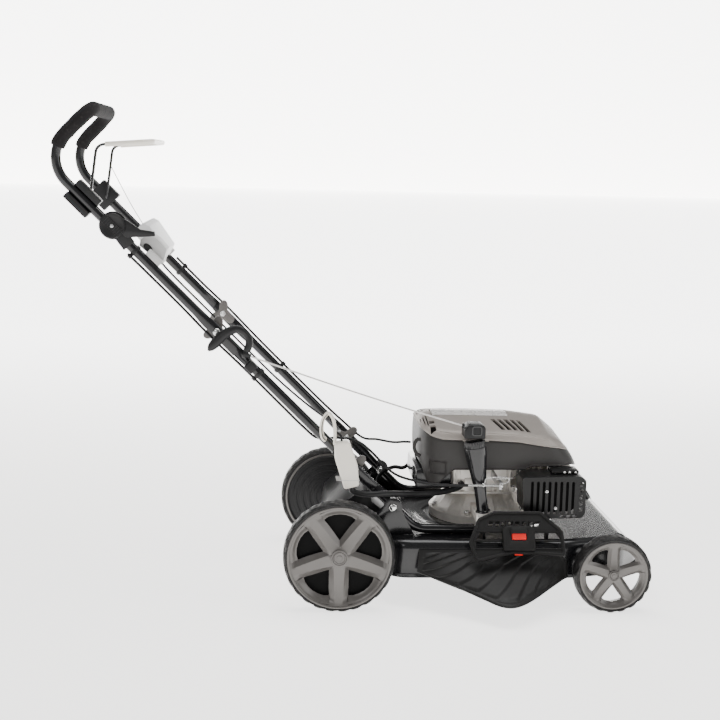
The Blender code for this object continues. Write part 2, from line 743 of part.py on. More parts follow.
def handle_brackets():
    """Two side plates that carry the rear axle and the frame tubes' bolts."""
    outline = [
        (0.020, 0.152), (-0.018, 0.143), (-0.018, 0.109), (0.045, 0.112), (0.100, DECK_TOP + GAP),
        (0.178, DECK_TOP + GAP), (0.150, 0.2080), *arc(BRACKET_BOLT, 0.022, 10.0, 170.0, 8), (0.085, 0.200),
    ]
    holes = [circle(BRACKET_BOLT, BOLT_RADIUS + SHAFT_PLAY, 12),
             circle((0.0, REAR_WHEEL_RADIUS), AXLE_RADIUS + SHAFT_PLAY, 16)]
    for side in (-1, 1):
        low, high = sorted((side * BRACKET_INNER, side * BRACKET_OUTER))
        add_piece(plate(f"handle_bracket_{SIDES[side]}", [outline, *holes], low, high), "black_enamel")


def crush(obj, sign, outer_face, solid_from, round_from):
    """Presses a tube flat beside a joint: solid_from and round_from are runs along the handle
    line where the tube is fully flat and where it is round again."""
    dx, dz = HANDLE_LINE
    for vertex in obj.data.vertices:
        x, y, z = vertex.co
        if y * sign < 0.0:
            continue
        run = (x - UPPER_JOINT[0]) * dx + (z - UPPER_JOINT[1]) * dz
        away = (x - UPPER_JOINT[0]) * -dz + (z - UPPER_JOINT[1]) * dx
        if solid_from > round_from:
            flatness = blend_between(run, round_from, solid_from)
        else:
            flatness = 1.0 - blend_between(run, solid_from, round_from)
        offset = y - sign * TUBE_Y
        low, high = (RUN / 2, TUBE_RADIUS) if outer_face else (-TUBE_RADIUS, -RUN / 2)
        pressed = low + (offset * sign + TUBE_RADIUS) / (2 * TUBE_RADIUS) * (high - low)
        vertex.co.y = sign * (TUBE_Y + (1 - flatness) * offset * sign + flatness * pressed)
        widen = away * (CRUSH_WIDEN - 1.0) * flatness
        vertex.co.x += -dz * widen
        vertex.co.z += dx * widen


def frame_tubes():
    """Two tubes bolted to the deck that rise to the handle's lower joint."""
    level = DECK_TOP + TUBE_RADIUS + GAP
    top_run = LOWER_RUN - OVERLAP_ABOVE
    round_run = LOWER_RUN + OVERLAP_BELOW + CRUSH_LENGTH
    corner_run = (UPPER_JOINT[1] - level) / -HANDLE_LINE[1]
    corner = on_handle(corner_run)
    runs = np.linspace(LOWER_RUN + OVERLAP_BELOW, round_run, 4)
    for side in (-1, 1):
        y = side * TUBE_Y
        straight = [on_handle(r) for r in (top_run, *runs)]
        points = [(x, y, z) for x, z in straight]
        bend = rounded_path([points[-1], (corner[0], y, corner[1]), (FRAME_END_X, y, level)],
                            [0.0, FRAME_BEND, 0.0], 4)
        path = points[:-1] + [tuple(p) for p in bend]
        pipe = settle(tube(f"frame_tube_{SIDES[side]}", path, TUBE_RADIUS))
        crush(pipe, side, False, LOWER_RUN + OVERLAP_BELOW, round_run)
        cut(pipe, rod_across(f"frame_joint_bore_{SIDES[side]}", LOWER_JOINT, BOLT_RADIUS + SHAFT_PLAY))
        cut(pipe, rod_across(f"frame_bolt_bore_{SIDES[side]}", BRACKET_BOLT, BOLT_RADIUS + SHAFT_PLAY))
        add_piece(smooth(pipe), "black_enamel")


def lower_tubes():
    """Two straight tubes between the two handle joints."""
    start, end = -OVERLAP_ABOVE, LOWER_RUN + OVERLAP_BELOW
    inner_runs = np.linspace(OVERLAP_BELOW, OVERLAP_BELOW + CRUSH_LENGTH, 4)
    outer_runs = np.linspace(LOWER_RUN - OVERLAP_ABOVE - CRUSH_LENGTH, LOWER_RUN - OVERLAP_ABOVE, 4)
    runs = [start, *inner_runs, *outer_runs, end]
    for side in (-1, 1):
        points = [(x, side * TUBE_Y, z) for x, z in (on_handle(r) for r in runs)]
        pipe = settle(tube(f"lower_tube_{SIDES[side]}", points, TUBE_RADIUS))
        crush(pipe, side, False, OVERLAP_BELOW, OVERLAP_BELOW + CRUSH_LENGTH)
        crush(pipe, side, True, LOWER_RUN - OVERLAP_ABOVE, LOWER_RUN - OVERLAP_ABOVE - CRUSH_LENGTH)
        cut(pipe, rod_across(f"lower_joint_bore_{SIDES[side]}", LOWER_JOINT, BOLT_RADIUS + SHAFT_PLAY))
        cut(pipe, rod_across(f"upper_joint_bore_{SIDES[side]}", UPPER_JOINT, BOLT_RADIUS + SHAFT_PLAY))
        add_piece(smooth(pipe), "black_enamel", LOWER_PIVOT)


def grip_corner():
    """Where the handle's straight line meets the line of its last leg."""
    ax, az = UPPER_JOINT
    ux, uz = -HANDLE_LINE[0], -HANDLE_LINE[1]
    cx, cz = GRIP_BAR
    vx, vz = -GRIP_LEG[0], -GRIP_LEG[1]
    across = ux * vz - uz * vx
    run = ((cx - ax) * vz - (cz - az) * vx) / across
    return ax + run * ux, az + run * uz


def upper_handle_path():
    """Centre line of the upper handle, right leg first."""
    corner = grip_corner()
    end = on_handle(OVERLAP_BELOW)
    turn_runs = np.linspace(-OVERLAP_ABOVE, -OVERLAP_ABOVE - CRUSH_LENGTH, 4)
    leg = [end, *(on_handle(r) for r in turn_runs)]
    right = [(x, -TUBE_Y, z) for x, z in leg]
    tail = rounded_path(
        [right[-1], (corner[0], -TUBE_Y, corner[1]), (GRIP_BAR[0], -TUBE_Y, GRIP_BAR[1]),
         (GRIP_BAR[0], 0.0, GRIP_BAR[1])], [0.0, GRIP_BEND, CORNER_BEND, 0.0], 4)
    right = right[:-1] + [tuple(p) for p in tail[:-1]]
    return right + [(x, -y, z) for x, y, z in reversed(right)]


def upper_handle():
    pipe = settle(tube("upper_handle", upper_handle_path(), TUBE_RADIUS))
    for side in (-1, 1):
        crush(pipe, side, True, -OVERLAP_ABOVE, -OVERLAP_ABOVE - CRUSH_LENGTH)
    cut(pipe, rod_across("handle_joint_bore", UPPER_JOINT, BOLT_RADIUS + SHAFT_PLAY))
    at = bail_pivot()
    for side in (-1, 1):
        cut(pipe, rod_object(f"bail_bore_{SIDES[side]}", (at[0], side * (TUBE_Y - 0.02), at[1]),
                             (at[0], side * (BAIL_PIN_END + RUN), at[1]), BAIL_ROD + SHAFT_PLAY, 12))
    add_piece(smooth(pipe), "black_enamel", UPPER_PIVOT)


def bail_pivot():
    return on_handle(-BAIL_PIVOT_RUN)


def foam_grip():
    """Foam sleeve over the handle's bar and both of its last legs."""
    path = upper_handle_path()
    corner = grip_corner()
    kept = [p for p in path if p[2] > corner[1] + 0.020]
    sleeve = settle(tube("foam_grip", kept, FOAM_RADIUS))
    bore_path = [p for p in path if p[2] > corner[1] - 0.040]
    bore = settle(tube("foam_bore", bore_path, TUBE_RADIUS + GAP))
    cut(sleeve, bore)
    add_piece(smooth(sleeve), "foam_black", UPPER_PIVOT)


def knob_outline(at):
    """Three-winged knob round its bolt."""
    points = []
    for i in range(24):
        angle = 2 * math.pi * i / 24
        wing = max(0.0, math.cos(1.5 * ((angle + math.pi) % (2 * math.pi / 3) - math.pi / 3)))
        radius = KNOB_REACH * (0.42 + 0.58 * wing ** 4)
        points.append((at[0] + radius * math.cos(angle), at[1] + radius * math.sin(angle)))
    return points


def joint_knobs():
    """At each handle joint a winged knob inside, on a bolt with its dome outside."""
    inner = TUBE_Y - TUBE_RADIUS - GAP
    outer = TUBE_Y + TUBE_RADIUS + GAP
    for level, at in (("upper", UPPER_JOINT), ("lower", LOWER_JOINT)):
        for side in (-1, 1):
            low, high = sorted((side * (inner - KNOB_DEPTH), side * inner))
            knob = plate(f"{level}_knob_{SIDES[side]}", [knob_outline(at)], low, high)
            profile = [(0.0, outer + DOME_HEIGHT), (DOME_RADIUS * 0.7, outer + DOME_HEIGHT * 0.75),
                       (DOME_RADIUS, outer), (BOLT_RADIUS, outer), (BOLT_RADIUS, inner - KNOB_DEPTH / 2),
                       (0.0, inner - KNOB_DEPTH / 2)]
            place = Matrix.Translation((at[0], 0.0, at[1])) @ facing(side)
            unite(knob, turned(f"{level}_bolt_{SIDES[side]}", profile, 12, place))
            add_piece(knob, "knob_grey", LOWER_PIVOT)


# Engine
def shroud_height(kind, x):
    """Heights along the engine's casing: its lower edge, its seam or its top."""
    line = SHROUD_LINES[kind]
    return float(np.interp(x, [p[0] for p in line], [p[1] for p in line]))


def casing_ring(back, front, half_width, heights):
    """Rounded plan of the engine's casing at heights that follow X."""
    middle, reach = (front + back) / 2, (front - back) / 2
    ring = []
    for i in range(CASING_POINTS):
        angle = 2 * math.pi * (i + 0.5) / CASING_POINTS
        c, s = math.cos(angle), math.sin(angle)
        power = 2.0 / (CASING_SQUARENESS if c < 0.0 else CASING_SQUARENESS * 0.62)
        x = middle + reach * math.copysign(abs(c) ** power, c)
        y = half_width * math.copysign(abs(s) ** (2.0 / CASING_SQUARENESS), s)
        ring.append((x, y, heights(x)))
    return ring


def lower_shroud():
    """Open dark skirt of the engine's casing."""
    low = casing_ring(SHROUD_BACK + 0.002, SHROUD_FRONT, SHROUD_HALF_WIDTH - 0.003,
                      lambda x: shroud_height("edge", x))
    middle = casing_ring(SHROUD_BACK, SHROUD_FRONT - 0.010, SHROUD_HALF_WIDTH,
                         lambda x: (shroud_height("edge", x) + shroud_height("seam", x)) / 2)
    high = casing_ring(SHROUD_BACK + 0.002, SEAM_FRONT, SHROUD_HALF_WIDTH - 0.001,
                       lambda x: shroud_height("seam", x))
    skirt = thicken(loft("lower_shroud", [low, middle, high], cap_start=False, cap_end=False), SHROUD_WALL)
    for side in (-1, 1):
        near, far = sorted((side * 0.060, side * (SHROUD_HALF_WIDTH - 0.0042)))
        unite(skirt, box_object(f"shroud_lug_{SIDES[side]}", (0.330, near, CASE_TOP + GAP),
                                (0.370, far, CASE_TOP + GAP + 0.004)))
    add_piece(smooth(skirt), "shroud_dark")


def crown(y):
    """Share of the cover's height that is left at y, where its top falls off to both sides."""
    ratio = abs(y) / SHROUD_HALF_WIDTH
    return 1.0 - COVER_FALL * (math.hypot(ratio, COVER_FLAT) - COVER_FLAT)


def upper_cover():
    """Crowned cover over the skirt, with the rope's outlet on its right side."""
    rings = []
    for scale, share in COVER_RINGS:
        centre = (SHROUD_BACK + SEAM_FRONT) / 2
        back = centre - (centre - SHROUD_BACK - 0.002) * scale
        front = centre + (SEAM_FRONT - centre) * scale

        def height(x, share=share):
            seam, top = shroud_height("seam", x) + GAP, shroud_height("top", x)
            return seam + (top - seam) * share

        ring = casing_ring(back, front, (SHROUD_HALF_WIDTH - 0.001) * scale, height)
        seams = [shroud_height("seam", x) + GAP for x, y, z in ring]
        rings.append([(x, y, seam + (z - seam) * crown(y)) for (x, y, z), seam in zip(ring, seams)])
    cover = loft("upper_cover", rings, cap_start=False, cap_end=True)
    thicken(cover, SHROUD_WALL)
    outlet = box_object("rope_outlet", (ROPE_OUTLET_X, -0.198, 0.382), (ROPE_OUTLET_X + 0.046, -0.105, 0.419))
    unite(cover, bevel(outlet, 0.004, 1))
    add_piece(smooth(cover), "cover_grey")


def engine_base():
    """Cast flange and bowl that bolt to the deck round the crank."""
    floor = DECK_TOP + GAP
    profile = [
        (CRANK_BORE, CASE_FLOOR), (0.080, CASE_FLOOR), (0.100, 0.2165), (0.118, 0.192), (BASE_RADIUS, 0.170),
        (BASE_RADIUS, floor), (CRANK_BORE, floor),
    ]
    base = turned("engine_base", profile, 24, Matrix.Translation((CRANK_X, 0.0, 0.0)))
    boss = box_object("filler_boss", (0.322, FILLER_Y - 0.017, 0.182), (0.359, -0.085, FILLER_FOOT - GAP))
    unite(base, boss)
    add_piece(smooth(base), "cast_alloy")


def crankcase():
    """Block over the bowl, its cylinder with fins forward, and the throttle's adjuster."""
    low = CASE_FLOOR + GAP
    block = box_object("crankcase", (CASE_BACK, -CASE_HALF_WIDTH, low),
                       (CASE_FRONT, CASE_HALF_WIDTH, CASE_TOP))
    bevel(block, 0.012, 1)
    unite(block, box_object("cylinder", (CASE_FRONT - 0.024, -CYLINDER_HALF_WIDTH, low),
                            (CYLINDER_FRONT, CYLINDER_HALF_WIDTH, CYLINDER_TOP)))
    for i in range(FIN_COUNT):
        at = FIN_START + FIN_STEP * i
        corner = (at + FIN_WALL, FIN_HALF_WIDTH, FIN_TOP)
        unite(block, box_object(f"fin_{i}", (at, -FIN_HALF_WIDTH, low), corner))
    arm = box_object("control_arm", (CONTROL_END - 0.003, CONTROL_Y - 0.003, CONTROL_Z - 0.0085),
                     (CONTROL_END + 0.003, 0.018 - CASE_HALF_WIDTH, CONTROL_Z + 0.0085))
    unite(block, arm)
    rod = rod_object("adjuster", (CONTROL_START, CONTROL_Y, CONTROL_Z), (CONTROL_END, CONTROL_Y, CONTROL_Z),
                     0.0025, 10)
    unite(block, rod)
    bore = rod_object("case_bore", (CRANK_X, 0.0, 0.15), (CRANK_X, 0.0, CASE_TOP + 0.02), CRANK_BORE, 20)
    cut(block, bore)
    add_piece(block, "cast_alloy")


def cylinder_head():
    head = box_object("cylinder_head", (CYLINDER_FRONT + GAP, -HEAD_HALF_WIDTH, 0.212),
                      (HEAD_FRONT, HEAD_HALF_WIDTH, FIN_TOP - 0.002))
    add_piece(bevel(head, 0.006, 1), "cast_alloy")


def spark_plug_boot():
    work = bmesh.new()
    add_rod(work, (HEAD_FRONT + 0.0005, 0.0, 0.236), (HEAD_FRONT + 0.037, 0.0, 0.226), 0.011, 12, 0.0095)
    boot = mesh_object("spark_plug_boot", work)
    cut(boot, box_object("boot_face", (CYLINDER_FRONT, -0.05, 0.19), (HEAD_FRONT + GAP, 0.05, 0.29)))
    spike = bmesh.new()
    add_rod(spike, (HEAD_FRONT + 0.025, 0.0, 0.2350), (HEAD_FRONT + 0.059, 0.0, 0.190), 0.010, 12, 0.004)
    unite(boot, mesh_object("boot_spike", spike))
    add_piece(smooth(boot), "black_plastic")


def muffler():
    """Silencer in its slotted guard, hung from the cylinder's right side."""
    near, far = MUFFLER_FACE, MUFFLER_BACK
    outline = [(0.426, 0.292), (0.567, 0.296), (0.577, 0.288), (0.578, 0.206), (0.570, 0.197), (0.452, 0.194),
               (0.432, 0.212)]
    guard = plate("muffler", [outline], near, far)
    for i in range(SLOT_COUNT):
        x = 0.452 + SLOT_STEP * i
        cut(guard, box_object(f"guard_slot_{i}", (x, near - 0.01, 0.208), (x + 0.008, near + 0.006, 0.283)))
    unite(guard, box_object("muffler_port", (0.470, far - 0.01, 0.232), (0.520, -FIN_HALF_WIDTH - GAP, 0.268)))
    add_piece(guard, "black_enamel")


def intake():
    """Carburettor on the cylinder's left side, with the air filter's box outside it."""
    body = box_object("carburettor", (0.466, FIN_HALF_WIDTH + GAP, 0.232), (0.512, INTAKE_Y, 0.276))
    add_piece(bevel(body, 0.004, 1), "cast_alloy")
    box = box_object("air_filter_box", (0.420, INTAKE_Y + GAP, 0.200), (0.545, 0.190, 0.296))
    add_piece(bevel(box, 0.010, 2), "black_plastic")


def fuel_tank():
    """Tank behind the crankcase, with a neck outside the casing's left side."""
    front = CASE_BACK - 0.0005
    outline = [(0.188, TANK_FLOOR + 0.006), (0.198, TANK_FLOOR), (0.270, TANK_FLOOR),
               (front, TANK_FLOOR + 0.010), (front, 0.290), (0.212, 0.290), (0.190, 0.286)]
    tank = plate("fuel_tank", [outline], -0.098, 0.098)
    bevel(tank, 0.006, 2, 50.0)
    arm = box_object("tank_arm", (0.224, 0.080, TANK_FLOOR + 0.0005), (0.266, NECK[1] + 0.020, TANK_FLOOR + 0.0175))
    unite(tank, arm)
    unite(tank, rod_object("tank_neck", (*NECK, TANK_FLOOR + 0.005), (*NECK, NECK_TOP), 0.0175, 16))
    add_piece(tank, "black_plastic")
    cap = rod_object("fuel_cap", (*NECK, NECK_TOP + GAP), (*NECK, NECK_TOP + 0.020), 0.025, 16)
    add_piece(smooth(bevel(cap, 0.003, 1)), "black_plastic", (*NECK, NECK_TOP))


def oil_filler():
    """Wide filler tube on the flange's boss, and its dipstick's cap."""
    foot, mouth = Vector((0.3405, FILLER_Y, FILLER_FOOT)), Vector((0.3165, FILLER_Y, 0.360))
    along = (mouth - foot).normalized()
    place = Matrix.Translation(foot) @ along.to_track_quat("Z", "Y").to_matrix().to_4x4()
    run = (mouth - foot).length
    profile = [(0.0, run), (0.0225, run), (0.0225, run - 0.006), (0.0205, run - 0.030), (0.0150, 0.070),
               (0.0140, -0.010), (0.0, -0.010)]
    pipe = turned("oil_filler_tube", profile, 16, place)
    cut(pipe, box_object("filler_foot", (0.30, FILLER_Y - 0.05, 0.17), (0.38, FILLER_Y + 0.05, FILLER_FOOT)))
    add_piece(smooth(pipe), "black_plastic")
    cap_profile = [(0.0, 0.017), (0.019, 0.017), (0.0225, 0.013), (0.0225, GAP), (0.0, GAP)]
    cap = turned("dipstick_cap", cap_profile, 16, Matrix.Translation(along * run) @ place)
    add_piece(smooth(cap), "black_plastic", tuple(mouth))


def crank_train():
    """Crankshaft, flywheel on it, and the blade's adapter with its bolt below."""
    top = 0.350
    crank = turned("crankshaft", [
        (0.0, top), (0.008, top), (0.008, FLYWHEEL_TOP), (SHAFT_RADIUS * 0.9, FLYWHEEL_TOP - 0.028),
        (SHAFT_RADIUS, FLYWHEEL_TOP - 0.028), (SHAFT_RADIUS, ADAPTER_FLOOR + GAP), (0.0, ADAPTER_FLOOR + GAP),
    ], 14, Matrix.Translation((CRANK_X, 0.0, 0.0)))
    add_piece(smooth(crank), "bright_steel", CRANK_PIVOT)
    low = FLYWHEEL_TOP - 0.028
    wheel_profile = [
        (0.008 + GAP, FLYWHEEL_TOP), (0.030, FLYWHEEL_TOP), (0.034, FLYWHEEL_TOP - 0.010),
        (0.080, FLYWHEEL_TOP - 0.010), (0.084, FLYWHEEL_TOP), (0.090, FLYWHEEL_TOP), (0.090, low + 0.004),
        (0.030, low + 0.004), (0.030, low), (SHAFT_RADIUS * 0.9 + GAP, low),
    ]
    flywheel = turned("flywheel", wheel_profile, 20, Matrix.Translation((CRANK_X, 0.0, 0.0)))
    add_piece(smooth(flywheel), "cast_alloy", CRANK_PIVOT)
    under = BLADE_Z - GAP
    bolt_end = under - 0.0075
    adapter = turned("blade_adapter", [
        (SHAFT_RADIUS + GAP, 0.125), (0.022, 0.125), (0.022, 0.100), (0.030, 0.090), (0.030, BLADE_TOP + GAP),
        (0.0050, BLADE_TOP + GAP), (0.0050, under), (0.0110, under), (0.0110, bolt_end), (0.0, bolt_end),
        (0.0, ADAPTER_FLOOR), (SHAFT_RADIUS + GAP, ADAPTER_FLOOR),
    ], 14, Matrix.Translation((CRANK_X, 0.0, 0.0)))
    add_piece(smooth(adapter), "cast_alloy", CRANK_PIVOT)


def blade():
    """Flat bar blade with cut-back corners and a bolt hole."""
    half, wide = BLADE_LENGTH / 2, BLADE_WIDTH / 2
    x, y = CRANK_X, 0.0
    outline = [
        (x - half, y - wide), (x - half, y + wide * 0.2), (x - half + 0.012, y + wide), (x + half, y + wide),
        (x + half, y - wide * 0.2), (x + half - 0.012, y - wide),
    ]
    bar = flat("blade", [outline, circle((x, y), 0.0055, 16)], BLADE_Z, BLADE_TOP)
    add_piece(bar, "bright_steel", CRANK_PIVOT)


# Side discharge
def side_point(x, along, out=0.0):
    """Point on the side flap: along is down the flap from its pin, out is off its face."""
    dy, dz = FLAP_DOWN
    return (x, SIDE_PIN[0] + along * dy - out * -dz, SIDE_PIN[1] + along * dz + out * -dy)


def side_flap():
    """Sprung flap over the side outlet, hung from the deck's ears, with its latch's opening."""
    frame = [(0.313, 0.1025), (0.296, 0.0600), (0.319, 0.0010), (0.358, -0.0165), (0.464, -0.0170),
             (0.512, 0.0290), (0.516, 0.0900), (0.470, 0.0880), (0.395, 0.0840)]
    curve = [side_point(x, v, FLAP_STAND) for x, v in frame]
    back = [side_point(x, v, FLAP_STAND - SIDE_FLAP_WALL) for x, v in frame]
    flap = loft("side_flap", [back, curve])
    housing = [(0.380, 0.020), (0.440, 0.020), (0.446, 0.078), (0.374, 0.078)]
    outer = [side_point(x, v, FLAP_STAND + 0.006) for x, v in housing]
    inner = [side_point(x, v, FLAP_STAND - 0.002) for x, v in housing]
    unite(flap, loft("latch_housing", [inner, outer]))
    low_x, high_x, low_v, high_v = LATCH
    hole = [(low_x - RUN, low_v - RUN), (high_x + RUN, low_v - RUN), (high_x + RUN, high_v + RUN),
            (low_x - RUN, high_v + RUN)]
    outer = [side_point(x, v, FLAP_STAND + 0.02) for x, v in hole]
    inner = [side_point(x, v, FLAP_STAND - 0.02) for x, v in hole]
    cut(flap, loft("latch_hole", [inner, outer]))
    for i, (start, end) in enumerate(KNUCKLES):
        unite(flap, rod_object(f"knuckle_{i}", (start, *SIDE_PIN), (end, *SIDE_PIN), 0.0092, 14))
    cut(flap, rod_object("side_pin_bore", (0.30, *SIDE_PIN), (0.54, *SIDE_PIN), PIN_RADIUS + SHAFT_PLAY, 12))
    pivot = (CRANK_X, *SIDE_PIN)
    add_piece(flap, "black_plastic", pivot)
    corners = [(low_x, low_v), (high_x, low_v), (high_x, high_v), (low_x, high_v)]
    outer = [side_point(x, v, FLAP_STAND + 0.0085) for x, v in corners]
    inner = [side_point(x, v, FLAP_STAND - 0.0045) for x, v in corners]
    add_piece(loft("latch_button", [inner, outer]), "signal_red", pivot)


def side_ears():
    """Ears on the deck's top that carry the side flap's pin, which is riveted in them."""
    ears = []
    y, z = SIDE_PIN
    section = [(y + 0.008, DECK_TOP - 0.0012), (y + 0.036, DECK_TOP - 0.0012), (y + 0.010, z + 0.006),
               (y - 0.002, z + 0.0065), (y - 0.006, z + 0.001), (y - 0.006, z - 0.006)]
    for i, x in enumerate(EAR_X):
        rings = [[(at, *p) for p in section] for at in (x, x + EAR_WALL)]
        ears.append(loft(f"side_ear_{i}", rings))
    return ears


def side_chute():
    """Ribbed deflector clipped below the flap: a surface between the deck and its curved hem."""
    steps = 8
    rows = []
    for row in CHUTE_ROWS:
        route = smooth_route([(x, CHUTE_SEAT_Y - out, z) for x, out, z in row], 3)
        run = np.array([tuple(p) for p in route])
        span = np.concatenate([[0.0], np.cumsum(np.linalg.norm(np.diff(run, axis=0), axis=1))])
        at = np.linspace(0.0, span[-1], steps + 1)
        rows.append(np.stack([np.interp(at, span, run[:, k]) for k in range(3)], axis=1))
    work = bmesh.new()
    grid = [[work.verts.new(p) for p in row] for row in rows]
    for low, high in zip(grid, grid[1:]):
        for i in range(steps):
            work.faces.new((low[i], low[i + 1], high[i + 1], high[i]))
    sheet = mesh_object("side_chute", work)
    thicken(sheet, CHUTE_WALL, 0.0)
    add_piece(smooth(sheet), "black_plastic")


# Handle's fittings
def slab(name, corners, low_y, high_y):
    """Block with corners given as (run, below) on the handle's line."""
    return plate(name, [[on_handle(run, below) for run, below in corners]], low_y, high_y)


def box_on_handle(name, runs, belows, ys):
    corners = [(runs[0], belows[0]), (runs[1], belows[0]), (runs[1], belows[1]), (runs[0], belows[1])]
    return slab(name, corners, *ys)


def handle_rod(name, start, end, y, radius, sides=16):
    a, b = on_handle(start), on_handle(end)
    return rod_object(name, (a[0], y, a[1]), (b[0], y, b[1]), radius, sides)


def bail_parts():
    """Bent rod of the bail, its pale sleeve, and the housing round the right tube at its pivot."""
    at = bail_pivot()
    right = [(at[0], -BAIL_PIN_END, at[1]), (at[0], -BAIL_Y, at[1]), (BAIL_RISE[0], -BAIL_Y, BAIL_RISE[1]),
             (BAIL_REACH[0], -BAIL_Y, BAIL_REACH[1]), (BAIL_REACH[0], 0.0, BAIL_REACH[1])]
    left = [(x, -y, z) for x, y, z in reversed(right[:-1])]
    radii = [0.0, 0.008, 0.020, 0.022, 0.0, 0.022, 0.020, 0.008, 0.0]
    whole = rounded_path(right + left, radii, 4)
    rod = settle(tube("bail", [tuple(p) for p in whole], BAIL_ROD, 2))
    pivot = (at[0], 0.0, at[1])
    add_piece(smooth(rod), "black_enamel", pivot)
    start = BAIL_RISE[0] + SLEEVE_START
    covered = [tuple(p) for p in whole if p.x > start]
    lead = direction(BAIL_RISE, BAIL_REACH)
    first = (start, -BAIL_Y, BAIL_RISE[1] + (start - BAIL_RISE[0]) * lead[1] / lead[0])
    route = [first, *covered, (first[0], -first[1], first[2])]
    sleeve = settle(tube("bail_sleeve", route, SLEEVE_RADIUS, 2))
    longer = [tuple(p) for p in whole if p.z > BAIL_RISE[1] - 0.030]
    cut(sleeve, settle(tube("sleeve_bore", longer, BAIL_ROD + GAP, 2)))
    add_piece(smooth(sleeve), "cream_sleeve", pivot)
    housing = box_on_handle("bail_housing", (-0.450, -0.383), (-0.020, 0.027), (-0.1985, -0.158))
    cut(housing, handle_rod("housing_bore", -0.50, -0.33, -TUBE_Y, TUBE_RADIUS + GAP, 16))
    cut(housing, rod_object("housing_pin_bore", (at[0], -0.19, at[1]), (at[0], -0.15, at[1]),
                            BAIL_ROD + SHAFT_PLAY, 12))
    add_piece(housing, "black_plastic", UPPER_PIVOT)


def throttle():
    """Throttle control on the right tube: base, hub and cap in one, and the lever between."""
    outer = -(TUBE_Y + TUBE_RADIUS + GAP)
    disc = arc(THROTTLE, THROTTLE_RADIUS, -20.0, 280.0, 16)
    base_outline = disc + [(-0.488, 0.803), (-0.464, 0.822)]
    base = plate("throttle_housing", [base_outline], outer - 0.006, outer)
    hub = rod_object("throttle_hub", (THROTTLE[0], outer - 0.020, THROTTLE[1]),
                     (THROTTLE[0], outer - 0.003, THROTTLE[1]), 0.008, 16)
    cap = rod_object("throttle_face", (THROTTLE[0], outer - 0.0235, THROTTLE[1]),
                     (THROTTLE[0], outer - 0.0175, THROTTLE[1]), THROTTLE_RADIUS - 0.003, 24)
    unite(base, hub)
    unite(base, cap)
    add_piece(base, "black_plastic", UPPER_PIVOT)
    ring = arc(THROTTLE, 0.024, 60.0, 320.0, 14)
    horn = [(-0.480, 0.832), (-0.446, 0.834), (-0.418, 0.836), (-0.419, 0.846), (-0.450, 0.850),
            (-0.480, 0.870)]
    lever = plate("throttle_lever", [ring + horn, circle(THROTTLE, 0.008 + SHAFT_PLAY, 16)],
                  outer - 0.0175 + RUN, outer - 0.006 - RUN)
    add_piece(lever, "black_plastic", (THROTTLE[0], 0.0, THROTTLE[1]))


def console():
    """Control box between the tubes: a lower grey face on the right and a raised pale body."""
    near = [(-0.455, 0.824), (-0.447, 0.831), (-0.426, 0.833), (-0.416, 0.826), (-0.396, 0.804),
            (-0.406, 0.768), (-0.457, 0.812)]
    far = [(-0.478, 0.836), (-0.456, 0.860), (-0.441, 0.852), (-0.402, 0.796), (-0.412, 0.772),
           (-0.457, 0.810)]
    inner = TUBE_Y - TUBE_RADIUS - 0.005
    box = plate("console", [near], -inner, CONSOLE_STEP + 0.01)
    unite(box, plate("console_body", [far], CONSOLE_STEP, inner))
    for side in (-1, 1):
        low, high = sorted((side * 0.145, side * 0.190))
        unite(box, box_on_handle(f"console_saddle_{SIDES[side]}", (-0.235, -0.195),
                                 (-0.026, -TUBE_RADIUS - GAP), (low, high)))
    add_piece(box, "pale_grey", UPPER_PIVOT)


def starter_pull():
    """Hooked grip of the starter's rope, the rope, and the eye that holds it on the handle."""
    path = [(-0.2165, 0.5790), (-0.2085, 0.6000), (-0.2140, 0.6210), (-0.2350, 0.6330), (-0.2620, 0.6220),
            (-0.2850, 0.6000), (-0.3000, 0.5830)]
    radii = [0.0085, 0.0085, 0.0080, 0.0090, 0.0110, 0.0115, 0.0060]
    points = smooth_route([(x, STARTER_Y, z) for x, z in path], 2)
    widths = np.interp(np.arange(len(points)) / 2, range(len(radii)), radii)
    grip = settle(tube("starter_grip", [tuple(p) for p in points], 1.0, 2, [float(w) for w in widths]))
    nose = bmesh.new()
    add_rod(nose, (ROPE_START[0], STARTER_Y, ROPE_START[1]), (-0.2215, STARTER_Y, 0.5767), 0.0045, 12, 0.0085)
    unite(grip, mesh_object("grip_nose", nose))
    add_piece(smooth(grip), "black_plastic", (ROPE_START[0], STARTER_Y, ROPE_START[1]))
    start = Vector((ROPE_START[0], STARTER_Y, ROPE_START[1]))
    end = Vector((ROPE_OUTLET_X - 0.0009, -0.1737, 0.4097))
    start += (end - start).normalized() * GAP
    line = []
    for t in np.linspace(0.0, 1.0, 9):
        line.append(start.lerp(end, t) - Vector((0.0, 0.0, ROPE_SAG * 4 * t * (1 - t))))
    rope = settle(tube("starter_rope", [tuple(p) for p in line], 0.0019, 2))
    add_piece(smooth(rope), "rope_white", LOWER_PIVOT)
    tube_side = -(TUBE_Y + TUBE_RADIUS + GAP)
    eye = box_on_handle("rope_guide", (0.096, 0.120), (-0.013, 0.011), (-0.220, tube_side))
    add_piece(bevel(eye, 0.003, 1), "black_plastic", LOWER_PIVOT)


def battery_pack():
    outline = [(-0.014, 0.379), (0.020, 0.383), (0.040, 0.328), (0.0445, 0.281), (0.011, 0.272),
               (-0.0115, 0.3405)]
    pack = bevel(plate("battery_pack", [outline], *PACK_Y), 0.004, 2)
    tube_side = -(TUBE_Y + TUBE_RADIUS + GAP)
    unite(pack, box_on_handle("pack_hook", (0.380, 0.404), (-0.010, 0.010), (PACK_Y[1] - 0.0035, tube_side)))
    add_piece(pack, "cream_sleeve", LOWER_PIVOT)


